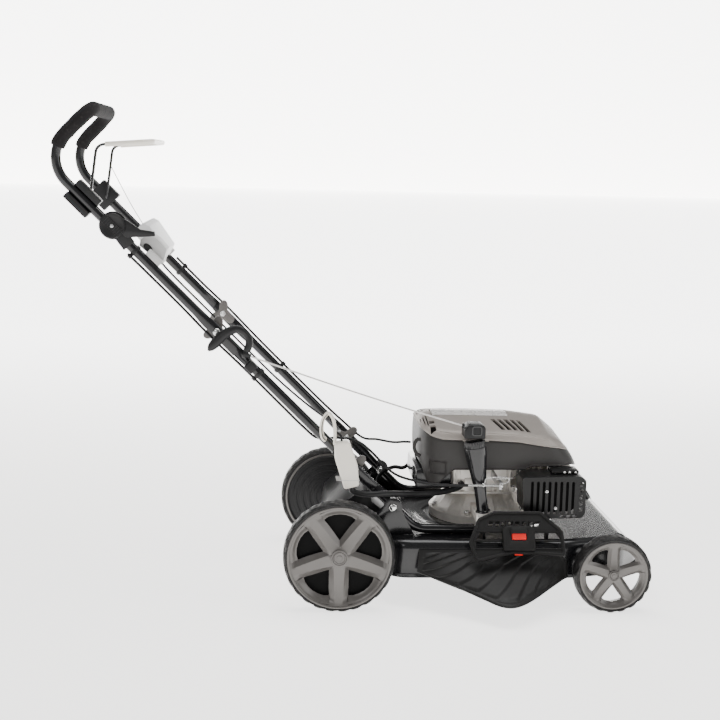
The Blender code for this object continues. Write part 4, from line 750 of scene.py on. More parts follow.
@dataclass
class Piece:
    """One visible piece: its shape, its finish and what carries it."""

    name: str
    shape: Shape
    finish: Finish
    body: str | None = "chassis"
    replaces: tuple[str, ...] = ()
    cuts: list[Shape] = field(default_factory=list)
    wall: float = 0.0
    even: bool = True
    bevel: float = 0.0
    segments: int = 2
    sharp: float = 38.0

    def build(self) -> bpy.types.Object:
        """Makes the piece's object, with its modifiers applied and its body given."""
        obj = mesh_of(self.name, self.shape)
        helpers = []
        if self.wall:
            wall = obj.modifiers.new("wall", "SOLIDIFY")
            wall.thickness = self.wall
            wall.offset = -1.0
            wall.use_even_offset = self.even
        for count, shape in enumerate(self.cuts):
            helper = mesh_of(f"{self.name}_cut_{count}", shape)
            helpers.append(helper)
            step = obj.modifiers.new("cut", "BOOLEAN")
            step.operation = "DIFFERENCE"
            step.solver = "EXACT"
            step.object = helper
        if self.bevel:
            round_edges(obj, self.bevel, self.segments)
        settle(obj)
        for helper in helpers:
            bpy.data.objects.remove(helper, do_unlink=True)
        return dress(obj, self.finish, self.body, self.replaces, self.sharp)


def dress(obj: bpy.types.Object, finish: Finish, body: str | None, replaces: tuple[str, ...] = (),
          sharp: float = 38.0) -> bpy.types.Object:
    """Gives an object its finish, its shading, its body and the nodes that it stands for.

    Args:
        obj: the piece's object.
        finish: its finish.
        body: CAD body that it moves with; None leaves it without a body.
        replaces: CAD nodes that it stands for.
        sharp: angle in degrees past which an edge stays sharp.

    Returns:
        The object.
    """
    obj.data.materials.clear()
    obj.data.materials.append(finish.material())
    obj.data.shade_smooth()
    obj.data.set_sharp_from_angle(angle=math.radians(sharp))
    if body:
        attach(obj, body)
    if replaces:
        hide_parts(*replaces)
    LOG.info("%s: %d faces on %s", obj.name, len(obj.data.polygons), body)
    return obj


def body_of_node(node: str) -> str:
    """CAD body that a node belongs to."""
    return next(body for body, nodes in frame["record"]["behaviour"]["bodies"].items() if node in nodes)


def softened(node: str, finish: Finish, edge: float = 0.0008) -> bpy.types.Object:
    """Copy of a CAD node, merged, its flat faces made whole and its edges rounded.

    Args:
        node: the CAD node's name.
        finish: the finish that it gets.
        edge: width of the rounding.

    Returns:
        The copy, which stands for the node.
    """
    obj = bpy.data.objects.new(node + "_finished", frame["nodes"][node].data.copy())
    bpy.context.scene.collection.objects.link(obj)
    work = bmesh.new()
    work.from_mesh(obj.data)
    bmesh.ops.remove_doubles(work, verts=work.verts, dist=0.00001)
    bmesh.ops.dissolve_limit(work, angle_limit=math.radians(0.6), verts=work.verts, edges=work.edges)
    work.to_mesh(obj.data)
    work.free()
    round_edges(obj, edge)
    settle(obj)
    return dress(obj, finish, body_of_node(node), (node,))


def recoat(node: str, finish: Finish) -> None:
    """Gives a CAD node that stays its finish.

    Args:
        node: the CAD node's name.
        finish: the finish that it gets.
    """
    obj = frame["nodes"][node]
    obj.data.materials.clear()
    obj.data.materials.append(finish.material())
    LOG.info("%s keeps its solid", node)


@dataclass
class Studio:
    """Pale floor with a bright wall far behind it, soft lights and the photograph's camera."""

    eye: Point = (-0.15958, -3.11834, 1.0155)
    yaw: float = 3.9535
    pitch: float = 8.7666
    roll: float = 1.3388
    lens: float = 65.227
    sensor: float = 36.0

    def build(self) -> None:
        """Makes the camera, the floor, the sky and the lights."""
        self._camera()
        self._floor()
        self._sky()
        middle = tuple(ORIGIN + (0.1, 0.0, 0.4))
        self._light("top_light", (0.2, 0.2, 3.0), middle, 3.0, 1.6, 75.0)
        self._light("near_light", (-1.7, -2.8, 2.0), middle, 1.6, 1.2, 20.0)
        self._light("front_light", (2.6, -1.2, 1.4), middle, 1.0, 1.6, 18.0)
        self._light("rear_light", (-2.4, 1.2, 1.6), middle, 1.0, 1.4, 14.0)

    def _camera(self) -> None:
        """Camera turned by yaw, pitch and roll about its own axes."""
        yaw, pitch, roll = (math.radians(a) for a in (self.yaw, self.pitch, self.roll))
        ahead = Vector((math.sin(yaw) * math.cos(pitch), math.cos(yaw) * math.cos(pitch), -math.sin(pitch)))
        level = Vector((math.cos(yaw), -math.sin(yaw), 0.0))
        upright = level.cross(ahead)
        right = level * math.cos(roll) + upright * math.sin(roll)
        up = upright * math.cos(roll) - level * math.sin(roll)
        camera = bpy.data.objects.new("photo_camera", bpy.data.cameras.new("photo_camera"))
        camera.data.sensor_width = self.sensor
        camera.data.lens = self.lens
        camera.data.clip_start = 0.05
        camera.data.clip_end = 60.0
        turn = Matrix((right, up, -ahead)).transposed().to_4x4()
        camera.matrix_world = Matrix.Translation(Vector(self.eye) + Vector(ORIGIN)) @ turn
        bpy.context.scene.collection.objects.link(camera)
        bpy.context.scene.camera = camera

    def _floor(self) -> None:
        """Floor z = 0 that grows brighter behind the mower, and a low bright wall at its far end."""
        half, back, high = 20.0, 40.0, 6.6
        rows = np.array([[(x, y, 0.0) for y in (-half, back)] for x in (half, -half)])
        floor = mesh_of("studio_floor", skin(rows, wrap=False, caps=False))
        floor.data.materials.append(self._glowing("pale_floor", 2.0, 5.0))
        rows = np.array([[(x, back, z) for z in (0.0, high)] for x in (half, -half)])
        wall = mesh_of("studio_wall", skin(rows, wrap=False, caps=False))
        wall.data.materials.append(self._glowing("pale_wall", 5.0, 5.0))

    def _glowing(self, name: str, near: float, far: float) -> bpy.types.Material:
        """Pale matt material whose own light rises from near to far along Y.

        Args:
            name: the material's name.
            near: its light near the mower.
            far: its light far behind it.

        Returns:
            The material.
        """
        material = bpy.data.materials.new(name)
        material.use_nodes = True
        tree = material.node_tree
        shader = tree.nodes["Principled BSDF"]
        shader.inputs["Base Color"].default_value = (0.88, 0.86, 0.83, 1.0)
        shader.inputs["Roughness"].default_value = 0.7
        shader.inputs["Specular IOR Level"].default_value = 0.1
        shader.inputs["Emission Color"].default_value = (1.0, 0.995, 0.985, 1.0)
        parts = tree.nodes.new("ShaderNodeSeparateXYZ")
        glow = tree.nodes.new("ShaderNodeMapRange")
        glow.interpolation_type = "SMOOTHSTEP"
        glow.inputs["From Min"].default_value = 0.2
        glow.inputs["From Max"].default_value = 4.5
        glow.inputs["To Min"].default_value = near
        glow.inputs["To Max"].default_value = far
        tree.links.new(tree.nodes.new("ShaderNodeTexCoord").outputs["Object"], parts.inputs["Vector"])
        tree.links.new(parts.outputs["Y"], glow.inputs["Value"])
        tree.links.new(glow.outputs["Result"], shader.inputs["Emission Strength"])
        return material

    def _sky(self) -> None:
        """Dim white surroundings."""
        world = bpy.data.worlds.new("white_surroundings")
        world.use_nodes = True
        back = world.node_tree.nodes["Background"]
        back.inputs["Color"].default_value = (1.0, 0.995, 0.985, 1.0)
        back.inputs["Strength"].default_value = 0.3
        bpy.context.scene.world = world

    def _light(self, name: str, spot: Point, target: Point, width: float, height: float,
               power: float) -> None:
        """Soft rectangular light aimed at a target.

        Args:
            name: the light's name.
            spot: where it stands in the mower's frame.
            target: where it points, in the row's frame.
            width: its width.
            height: its height.
            power: its power in watts.
        """
        data = bpy.data.lights.new(name, "AREA")
        data.shape = "RECTANGLE"
        data.size = width
        data.size_y = height
        data.energy = power
        light = bpy.data.objects.new(name, data)
        light.location = Vector(spot) + Vector(ORIGIN)
        light.rotation_euler = (Vector(target) - light.location).to_track_quat("-Z", "Y").to_euler()
        bpy.context.scene.collection.objects.link(light)


@dataclass
class Wheel:
    """One wheel: a lugged tyre on a five-spoke rim with a ringed cap."""

    end: End
    side: Side
    width: float = 0.0475
    spokes: int = 5

    def __post_init__(self) -> None:
        """Takes the sizes of its end of the chassis."""
        rear = self.end is End.REAR
        self.radius = 0.127 if rear else 0.089
        self.depth = 0.011 if rear else 0.0125
        self.face = 0.296 if rear else 0.303
        self.axle = (0.0 if rear else 0.627, 0.0, self.radius)
        self.lugs = 26 if rear else 20
        self.spoke_base = 0.045 if rear else 0.0285
        self.spoke_near = 0.026 if rear else 0.0165
        self.spoke_far = 0.0165 if rear else 0.0115
        self.window_out = 0.0985 if rear else 0.063
        self.cap = 0.0195 if rear else 0.0127
        self.drop = 0.01 if rear else 0.007
        self.seat = self.radius - self.depth
        self.lip = self.seat + 0.0025
        self.body = f"{self.end.value}_{self.side.word}_wheel"
        self.key = f"{self.end.value}_{self.side.word}"
        turn = Matrix.Rotation(-self.side.value * math.pi / 2, 4, "X")
        hub = (self.axle[0], self.side.value * (self.face - self.width), self.radius)
        self.place = Matrix.Translation(hub) @ turn

    def build(self) -> None:
        """Makes the wheel's pieces."""
        Piece(f"tyre_{self.key}_lugged", self.tyre(), TYRE, self.body, (f"tyre_{self.key}",),
              sharp=50.0).build()
        Piece(f"rim_{self.key}_spokes", self.spoke_face(), RIM, self.body, (f"rim_{self.key}",),
              wall=0.0022, even=False, sharp=26.0).build()
        Piece(f"rim_{self.key}_flange", self.flange(), RIM, self.body, sharp=40.0).build()
        Piece(f"rim_{self.key}_cap", self.cap_shape(), RIM, self.body, sharp=30.0).build()
        if self.end is End.REAR:
            Piece(f"rim_{self.key}_backing", self.backing(), HOLLOW, self.body).build()
            Piece(f"rim_{self.key}_dust_cover", self.dust_cover(), PLASTIC, self.body, sharp=30.0).build()
        else:
            Piece(f"rim_{self.key}_hub", self.hub_tube(), RIM, self.body).build()

    def tyre(self) -> Shape:
        """Squared round section |cos a|^0.4, |sin a|^0.5 turned, less a wavy groove round the crown and
        slanted gaps between the shoulder lugs, which are tanh of a cosine of the turn."""
        a = np.linspace(0.0, np.pi, 41)[:, None]
        turn = full_turn(self.lugs * 12)[None, :]
        half, middle = self.width / 2 - 0.0006, self.width / 2
        across = np.sign(np.cos(a)) * np.abs(np.cos(a)) ** 0.4
        rise = np.sin(a) ** 0.5
        wide = np.abs(across)
        phase = self.lugs * turn + np.where(across > 0, 0.0, np.pi) + 5.0 * (wide - 0.6) * np.sign(across)
        lug = 0.5 + 0.5 * np.tanh(3.2 * np.cos(phase))
        shoulder = eased(wide, 0.42, 0.62)
        zigzag = 0.16 * np.abs(2.0 * ((self.lugs * turn / (2 * np.pi)) % 1.0) - 1.0) - 0.08
        crown = bell(across - zigzag * 1.6, 0.075) * eased(rise, 0.7, 0.95)
        sink = 0.003 * shoulder * (1.0 - lug) * eased(rise, 0.55, 0.85) + 0.002 * crown
        radius = self.seat + self.depth * rise - sink
        half = half * (1.0 - 0.1 * (1.0 - eased(rise, 0.25, 0.62)))
        gap = 0.0018 * (1.0 - lug) * eased(wide, 0.85, 0.98) * eased(rise, 0.5, 0.75)
        height = middle + across * half - np.sign(across) * gap
        outer = np.stack([radius * np.cos(turn), radius * np.sin(turn), height + 0.0 * turn], axis=-1)
        bead = self.seat + GAP
        inner = turned([(bead, 0.003), (bead, self.width - 0.0045)], outer.shape[1])
        rows = np.concatenate([outer, inner.points.reshape(2, -1, 3)])
        return skin(rows, ring=True).moved(self.place)

    def _half_angle(self, width: float, radius: np.ndarray) -> np.ndarray:
        """Angle of half a straight spoke at a radius: asin(width / 2r), held at half a sector."""
        return np.minimum(np.arcsin(np.clip(width / 2 / radius, 0.0, 1.0)), math.pi / self.spokes)

    def spoke_face(self) -> Shape:
        """Outer face of the rim as a height over radius and turn: straight ridges whose flanks fall to a
        dish, with the windows between the flanks left out. Its lines follow the flanks."""
        tip = self.spoke_base / 2 / math.sin(math.pi / self.spokes)
        start, flange = self.cap * 0.7, self.lip - 0.006
        inner = np.linspace(start, tip, 6)
        open_rows = np.linspace(tip, self.window_out, 9)[1:]
        dish = np.linspace(self.window_out, flange, 6)[1:]
        r = np.concatenate([inner, open_rows, dish])
        share = np.clip((r - tip * 0.6) / (flange - tip * 0.6), 0.0, 1.0)
        ridge = self.spoke_near + (self.spoke_far - self.spoke_near) * share
        sector = math.pi / self.spokes
        top = np.minimum(self._half_angle(1.0, r / ridge), sector * 0.86)
        base = np.maximum(self._half_angle(self.spoke_base, r), top + 0.02)
        base = np.minimum(base, sector)
        lines = [0 * top, top * 0.55, top, top + (base - top) * 0.08, top + (base - top) * 0.92, base]
        lines += [base + (sector - base) * t for t in (0.3, 0.65, 1.0)]
        angle = np.stack(lines, axis=1)
        crest = (self.width - 0.0035
                 - 0.005 * np.sin(np.pi * np.clip((r - start) / (flange - start), 0, 1)) ** 0.8)
        fall = self.drop * eased(r, tip * 0.5, tip * 1.1)
        dished = crest - fall
        rim_rise = eased(r, self.window_out * 0.98, flange)
        dished = dished + (self.width - 0.0042 - dished) * rim_rise ** 1.3
        depth = np.array([0.0, 0.0, 0.0, 0.08, 0.94, 1.0, 1.0, 1.0, 1.0])
        height = crest[:, None] + (dished - crest)[:, None] * depth
        corner = np.array([0, 0, 0, 0, 0.1, 0.6, 0.22, 0.05, 0.0]) * self.spoke_base * 0.2
        pull = np.clip(1.0 - np.abs(r - self.window_out) / (self.radius * 0.16), 0.0, 1.0)
        radii = r[:, None] - pull[:, None] * corner
        mirrored = np.concatenate([-angle[:, :0:-1], angle], axis=1)
        heights = np.concatenate([height[:, :0:-1], height], axis=1)
        spread = np.concatenate([radii[:, :0:-1], radii], axis=1)
        first = -90.0 if self.end is End.REAR else 90.0
        middles = np.radians(first + 360.0 / self.spokes * np.arange(self.spokes))
        turn = np.concatenate([mirrored[:, :-1] + m for m in middles], axis=1)
        high = np.tile(heights[:, :-1], (1, self.spokes))
        out = np.tile(spread[:, :-1], (1, self.spokes))
        rows = np.stack([out * np.cos(turn), out * np.sin(turn), high], axis=-1)
        face = skin(rows, caps=False)
        span = mirrored.shape[1] - 1
        per_row = span * self.spokes
        edge_rows = range(len(inner) - 1, len(inner) + len(open_rows) - 1)
        gap_columns = set(range(0, 3)) | set(range(span - 3, span))
        kept = [f for n, f in enumerate(face.faces)
                if not (n // per_row in edge_rows and (n % per_row) % span in gap_columns)]
        shape = Shape(face.points, kept)
        normal = np.cross(rows[-1, 1] - rows[-1, 0], rows[-2, 0] - rows[-1, 0])
        if normal[2] > 0.0:
            shape = Shape(shape.points, [f[::-1] for f in shape.faces])
        turn_matrix = np.array(self.place.to_3x3())
        return Shape(shape.points @ turn_matrix.T + np.array(self.place.translation), shape.faces)

    def flange(self) -> Shape:
        """Rolled flange and barrel of the rim, turned."""
        w, lip, seat = self.width, self.lip, self.seat
        profile = [(lip - 0.0064, w - 0.0062), (lip - 0.0064, w - 0.004), (lip - 0.0048, w - 0.0022),
                   (lip - 0.0026, w - 0.0014), (lip - 0.0008, w - 0.0016), (lip, w - 0.0024),
                   (lip, w - 0.004), (seat, w - 0.0044), (seat, 0.0021), (seat - 0.0015, 0.0012),
                   (seat - 0.0045, 0.0012), (seat - 0.0055, 0.003), (seat - 0.0055, w - 0.011),
                   (lip - 0.0095, w - 0.008)]
        return turned(profile, 120, self.place, ring=True)

    def cap_shape(self) -> Shape:
        """Hub cap with a groove round its rim and a raised ring round its middle, turned."""
        r, w = self.cap, self.width
        profile = [(0.0, w - 0.0012), (r * 0.3, w - 0.0012), (r * 0.36, w - 0.002), (r * 0.58, w - 0.002),
                   (r * 0.64, w - 0.0006), (r * 0.7, w - 0.0006), (r * 0.74, w - 0.0026),
                   (r * 0.8, w - 0.0026), (r * 0.84, w - 0.001), (r * 0.97, w - 0.0014), (r, w - 0.0024),
                   (r * 1.02, w - 0.0052), (r * 0.9, w - 0.008), (0.0, w - 0.008)]
        return turned(profile, 72, self.place)

    def backing(self) -> Shape:
        """Black disc behind the windows of a rear rim, turned."""
        r = self.seat - 0.0062
        profile = [(0.0, 0.0215), (r, 0.0215), (r, 0.019), (0.0, 0.019)]
        return turned(profile, 72, self.place)

    def dust_cover(self) -> Shape:
        """Inner disc of a rear wheel with concentric steps, turned."""
        r = self.seat - 0.0062
        lines = [(0.0, 0.0002), (0.017, 0.0002), (0.0175, 0.006)]
        for share in (0.3, 0.46, 0.62, 0.78):
            lines += [(r * share, 0.006), (r * (share + 0.02), 0.0044), (r * (share + 0.08), 0.0044),
                      (r * (share + 0.1), 0.006)]
        lines += [(r * 0.96, 0.006), (r, 0.003), (r, 0.018), (0.0, 0.018)]
        return turned(lines, 96, self.place)

    def hub_tube(self) -> Shape:
        """Hub of a front rim behind its spokes, turned, with the axle's bore."""
        w = self.width
        profile = [(0.0068, 0.0), (0.015, 0.0), (0.016, 0.0012), (0.015, w - 0.013), (0.0068, w - 0.011)]
        return turned(profile, 48, self.place, ring=True)


@dataclass
class Handle:
    """Line of the handle, its tubes, joints, brackets and grip."""

    radius: float = 0.011
    half: float = 0.181
    upper: Spot = (-0.282, 0.6225)
    lower: Spot = (0.037, 0.3084)
    bracket_bolt: Spot = (0.127, 0.219)
    grip_bar: Spot = (-0.561, 1.112)
    grip_leg: Spot = (0.697, 0.717)
    below: float = 0.065
    above: float = 0.025
    crush: float = 0.045
    widen: float = PRESSED
    deck_top: float = 0.154
    frame_end: float = 0.321
    foam: float = 0.016

    def __post_init__(self) -> None:
        """Works out the handle's direction and length."""
        step = np.array(self.lower) - np.array(self.upper)
        self.run = float(np.hypot(*step))
        self.along = step / self.run

    def at(self, run: float, below: float = 0.0) -> Spot:
        """Point (x, z) a run down the handle's line and a distance below it."""
        dx, dz = self.along
        return (self.upper[0] + run * dx + below * dz, self.upper[1] + run * dz - below * dx)

    def spot(self, run: float, below: float, y: float) -> Point:
        """Point of the handle's line at a Y."""
        x, z = self.at(run, below)
        return (x, y, z)

    def press(self, shape: Shape, side: Side, outer: bool, flat_from: float, round_from: float) -> Shape:
        """Tube pressed flat beside a joint.

        Args:
            shape: the tube.
            side: its side of the mower.
            outer: whether it lies in the outer half of the joint.
            flat_from: run where it is fully flat.
            round_from: run where it is round again.

        Returns:
            The tube with its points moved towards one side of the handle's plane and widened.
        """
        points = shape.points.copy()
        dx, dz = self.along
        mine = points[:, 1] * side.value > 0.0
        rel = points[:, [0, 2]] - np.array(self.upper)
        run, away = rel @ self.along, rel @ np.array([-dz, dx])
        flatness = np.where(mine, eased(run, round_from, flat_from), 0.0)
        offset = points[:, 1] * side.value - self.half
        low, high = (0.00025, self.radius) if outer else (-self.radius, -0.00025)
        pressed = low + (offset + self.radius) / (2 * self.radius) * (high - low)
        moved = side.value * (self.half + (1 - flatness) * offset + flatness * pressed)
        points[:, 1] = np.where(mine, moved, points[:, 1])
        stretch = away * (self.widen - 1.0) * flatness
        points[:, 0] += -dz * stretch
        points[:, 2] += dx * stretch
        return Shape(points, shape.faces)

    def corner(self) -> Spot:
        """Where the handle's line meets the line of its last leg."""
        a, c = np.array(self.upper), np.array(self.grip_bar)
        u, v = -self.along, -np.array(self.grip_leg)
        run = ((c[0] - a[0]) * v[1] - (c[1] - a[1]) * v[0]) / (u[0] * v[1] - u[1] * v[0])
        return tuple(a + run * u)

    def upper_path(self) -> np.ndarray:
        """Centre line of the upper handle, right leg first."""
        corner = self.corner()
        runs = np.linspace(-self.above, -self.above - self.crush, 12)
        leg = [self.spot(r, 0.0, -self.half) for r in (self.below, *runs)]
        bar = self.grip_bar
        tail = rounded([leg[-1], (corner[0], -self.half, corner[1]), (bar[0], -self.half, bar[1]),
                        (bar[0], 0.0, bar[1])], [0.0, 0.075, 0.045, 0.0], 14)
        right = np.vstack([np.array(leg[:-1]), tail[:-1]])
        left = right[::-1] * (1.0, -1.0, 1.0)
        return np.vstack([right, left])

    def build(self) -> None:
        """Makes the tubes, the grip, the joints and the brackets."""
        path = self.upper_path()
        pipe = tube(path, self.radius, PIPE_SIDES)
        for side in Side:
            pipe = self.press(pipe, side, True, -self.above, -self.above - self.crush)
        Piece("upper_handle_tube", pipe, ENAMEL, "upper_handle", ("upper_handle",), bevel=0.001).build()
        self._grip(path)
        for side in Side:
            self._lower_tube(side)
            self._frame_tube(side)
            for level, at in (("upper", self.upper), ("lower", self.lower)):
                self._joint(level, at, side)
            self._bracket(side)

    def _grip(self, path: np.ndarray) -> None:
        """Foam sleeve over the bar and both last legs, a little fuller between its ends and folded at
        its corners."""
        low = self.corner()[1] + 0.02
        kept = path[path[:, 2] > low]
        fine, at = evenly(kept, 260)
        ends = np.minimum(at, at[-1] - at)
        ripple = 0.00022 * np.sin(at * 190.0) + 0.00018 * np.sin(at * 77.0 + 1.3)
        radius = self.foam - 0.0012 * bell(ends, 0.004) + ripple
        foam = hollow_tube(fine, radius, self.radius + GAP, 44)
        Piece("foam_grip_sleeve", foam, FOAM, "upper_handle", ("foam_grip",), sharp=60.0).build()

    def _lower_tube(self, side: Side) -> None:
        """Straight tube between the two joints."""
        low, high = self.run - self.above, self.below
        runs = [-self.above, *np.linspace(high, high + self.crush, 12),
                *np.linspace(low - self.crush, low, 12), self.run + self.below]
        path = np.array([self.spot(r, 0.0, side.value * self.half) for r in runs])
        pipe = tube(path, self.radius, PIPE_SIDES)
        pipe = self.press(pipe, side, False, high, high + self.crush)
        pipe = self.press(pipe, side, True, low, low - self.crush)
        Piece(f"lower_tube_{side.word}_pipe", pipe, ENAMEL, "lower_handle", (f"lower_tube_{side.word}",),
              bevel=0.001).build()

    def _frame_tube(self, side: Side) -> None:
        """Tube that rises from the deck to the lower joint."""
        level = self.deck_top + self.radius + GAP
        y = side.value * self.half
        flat = self.run + self.below
        corner = self.at((self.upper[1] - level) / -self.along[1])
        runs = (self.run - self.above, *np.linspace(flat, flat + self.crush, 12))
        straight = [self.spot(r, 0.0, y) for r in runs]
        bend = rounded([straight[-1], (corner[0], y, corner[1]), (self.frame_end, y, level)],
                       [0.0, 0.06, 0.0], 16)
        pipe = tube(np.vstack([np.array(straight[:-1]), bend]), self.radius, PIPE_SIDES)
        pipe = self.press(pipe, side, False, flat, flat + self.crush)
        Piece(f"frame_tube_{side.word}_pipe", pipe, ENAMEL, "chassis", (f"frame_tube_{side.word}",),
              bevel=0.001).build()

    def _joint(self, level: str, at: Spot, side: Side) -> None:
        """Winged knob inside a joint and its bolt's dome outside.

        Args:
            level: upper or lower joint.
            at: the joint's place.
            side: side of the mower.
        """
        s = side.value
        inner, outer = self.half - self.radius - GAP, self.half + self.radius + GAP
        turn = full_turn(120)
        lead = 1.466 if level == "upper" else 0.75
        wing = np.abs(np.cos(1.5 * (turn - lead)))
        reach = 0.034 * (0.4 + 0.6 * wing ** 2.6)
        outline = np.stack([at[0] + reach * np.cos(turn), at[1] + reach * np.sin(turn)], axis=1)
        low, high = sorted((s * (inner - 0.0125), s * (inner - 0.002)))
        Piece(f"{level}_knob_{side.word}_wings", prism(outline, low, high), KNOB, "lower_handle",
              (f"{level}_knob_{side.word}",), bevel=0.0022, segments=3).build()
        collar = rod((at[0], s * (inner - 0.0022), at[1]), (at[0], s * inner, at[1]), 0.0105, 36, 0.0003)
        Piece(f"{level}_knob_{side.word}_collar", collar, KNOB, "lower_handle").build()
        nut = hex_bolt((at[0], s * (inner - 0.0122), at[1]), (0.0, -s, 0.0), 0.0095, 0.0045, 0.0068)
        stud = rod((at[0], s * (inner - 0.014), at[1]), (at[0], s * (inner - 0.0195), at[1]),
                   0.0032, 20, 0.0006)
        dome = domed_head((at[0], s * outer, at[1]), (0.0, s, 0.0), 0.0088, 0.006)
        Piece(f"{level}_bolt_{side.word}_steel", nut + stud + dome, STEEL, "lower_handle").build()

    def _bracket(self, side: Side) -> None:
        """Side plate of the chassis with its bolt, and the nut inside."""
        s = side.value
        softened(f"handle_bracket_{side.word}", ENAMEL, 0.001)
        x, z = self.bracket_bolt
        outer = self.half + self.radius + 0.0035 + GAP
        dome = domed_head((x, s * outer, z), (0.0, s, 0.0), 0.0098, 0.0062)
        nut = hex_bolt((x, s * (self.half - self.radius - GAP), z), (0.0, -s, 0.0), 0.013, 0.006, 0.01)
        shank = rod((x, s * (self.half - self.radius), z), (x, s * outer, z), 0.004, 20)
        Piece(f"bracket_bolt_{side.word}", dome + nut + shank, STEEL).build()


@dataclass
class Bail:
    """Bent rod of the brake's bail with its pale sleeve."""

    handle: Handle
    rod: float = 0.00325
    half: float = 0.15
    pin: float = 0.177
    rise: Spot = (-0.552, 1.033)
    reach: Spot = (-0.43, 1.043)
    sleeve: float = 0.0058

    def path(self) -> np.ndarray:
        """Centre line of the rod, right end first."""
        at = self.handle.at(-0.4024)
        half = [(at[0], -self.pin, at[1]), (at[0], -self.half, at[1]),
                (self.rise[0], -self.half, self.rise[1]),
                (self.reach[0], -self.half, self.reach[1]), (self.reach[0], 0.0, self.reach[1])]
        right = rounded(half, [0.0, 0.008, 0.02, 0.022, 0.0], 10)
        return np.vstack([right[:-1], right[::-1] * (1.0, -1.0, 1.0)])

    def build(self) -> None:
        """Makes the rod and the sleeve."""
        path = self.path()
        Piece("bail_rod", tube(path, self.rod, 20), ENAMEL, "bail", ("bail",), bevel=0.0006).build()
        start = self.rise[0] + 0.017
        fine, _ = evenly(path, 400)
        covered = fine[fine[:, 0] > start]
        cover = hollow_tube(covered, self.sleeve, self.rod + GAP, 28)
        Piece("bail_sleeve_cover", cover, CREAM, "bail", ("bail_sleeve",), sharp=50.0).build()


@dataclass
class Deck:
    """Pressed deck: its shell with a rolled hem, the side flap's ears and their pin."""

    rear: float = 0.112
    half: float = 0.245
    nose: float = 0.7295
    nose_run: float = 0.0539
    slope: float = 0.984
    top: float = 0.154
    wall: float = 0.0025
    crank: Spot = (0.36, 0.0)
    hole: float = 0.05
    groove: float = 0.149
    axle: Spot = (0.627, 0.089)
    ears: tuple[float, ...] = (0.336, 0.385, 0.439, 0.484)
    pin: Spot = PIN_LINE

    def outline(self, points: int) -> np.ndarray:
        """Deck's plan as evenly spaced points, anticlockwise."""
        half = [(self.rear, 0.0, 0.0), (self.rear, -self.half, 0.0), (0.535, -self.half, 0.0),
                (0.66, -0.212, 0.0), (self.nose, -0.12, 0.0), (self.nose, 0.0, 0.0)]
        right = rounded(half, [0.0, 0.05, 0.12, 0.09, 0.07, 0.0], 14)[:, :2]
        line = np.vstack([right, right[-2::-1] * (1.0, -1.0)])
        return evenly(line, points, False)[0]

    def shell(self) -> Shape:
        """Wall rising from the hem, its shoulder, then rings that shrink from the shoulder to the
        crank's hole. A rounded groove runs round the engine, and height is capped by a slope at the
        nose that starts as w log(1 + exp((x - start) / w))."""
        wall = self.outline(360)
        profile = [(-0.006, 0.068), (-0.007, 0.0692), (-0.0066, 0.071), (-0.004, 0.0726), (-0.0008, 0.0745),
                   (0.0, 0.0775), (0.0, 0.095), (0.0, 0.115), (0.0, 0.133), (0.001, 0.1392), (0.0033, 0.1446),
                   (0.0068, 0.1488), (0.0115, 0.1519), (0.0175, 0.154)]
        rings = [np.column_stack([shrunk(wall, d), np.full(len(wall), h)]) for d, h in profile]
        last = rings[-1][:, :2] - np.array(self.crank)
        reach = np.linalg.norm(last, axis=1)[:, None]
        for t in np.linspace(0.0, 1.0, 60)[1:]:
            flat = np.array(self.crank) + last / reach * (reach + (self.hole - reach) * t)
            rings.append(np.column_stack([flat, np.full(len(wall), self.top)]))
        rows = np.stack(rings)
        away = np.hypot(rows[..., 0] - self.crank[0], rows[..., 1] - self.crank[1])
        inner = np.arange(len(rows))[:, None] > len(profile)
        rows[..., 2] -= np.where(inner, 0.0045 * bell(away - self.groove, 0.011), 0.0)
        start, soft = self.nose - self.nose_run, 0.004
        cap = self.top - self.slope * soft * np.log1p(np.exp((rows[..., 0] - start) / soft))
        rows[..., 2] = np.minimum(rows[..., 2], cap)
        return skin(rows, caps=False)

    def build(self) -> None:
        """Makes the shell, the ears and the pin."""
        cuts = [block((0.082, -0.14, 0.08), (0.142, 0.14, 0.142)),
                block((0.315, -0.275, 0.08), (0.505, -0.225, 0.132)),
                rod((self.axle[0], -0.3, self.axle[1]), (self.axle[0], 0.3, self.axle[1]), 0.0066, 24)]
        Piece("deck_shell", self.shell(), ENAMEL, "chassis", ("deck",), [total(cuts)],
              wall=self.wall, sharp=30.0).build()
        y, z = self.pin
        section = [(y + 0.008, 0.153), (y + 0.036, 0.153), (y + 0.01, z + 0.006), (y - 0.002, z + 0.0065),
                   (y - 0.006, z + 0.001), (y - 0.006, z - 0.006)]
        ears = total([prism(closed(section, 0.0015, 3), x, x + 0.004, Plane.YZ) for x in self.ears])
        Piece("deck_flap_ears", ears, ENAMEL, bevel=0.0005).build()
        Piece("deck_flap_pin", rod((0.333, y, z), (0.491, y, z), 0.003, 24, 0.0006), STEEL).build()


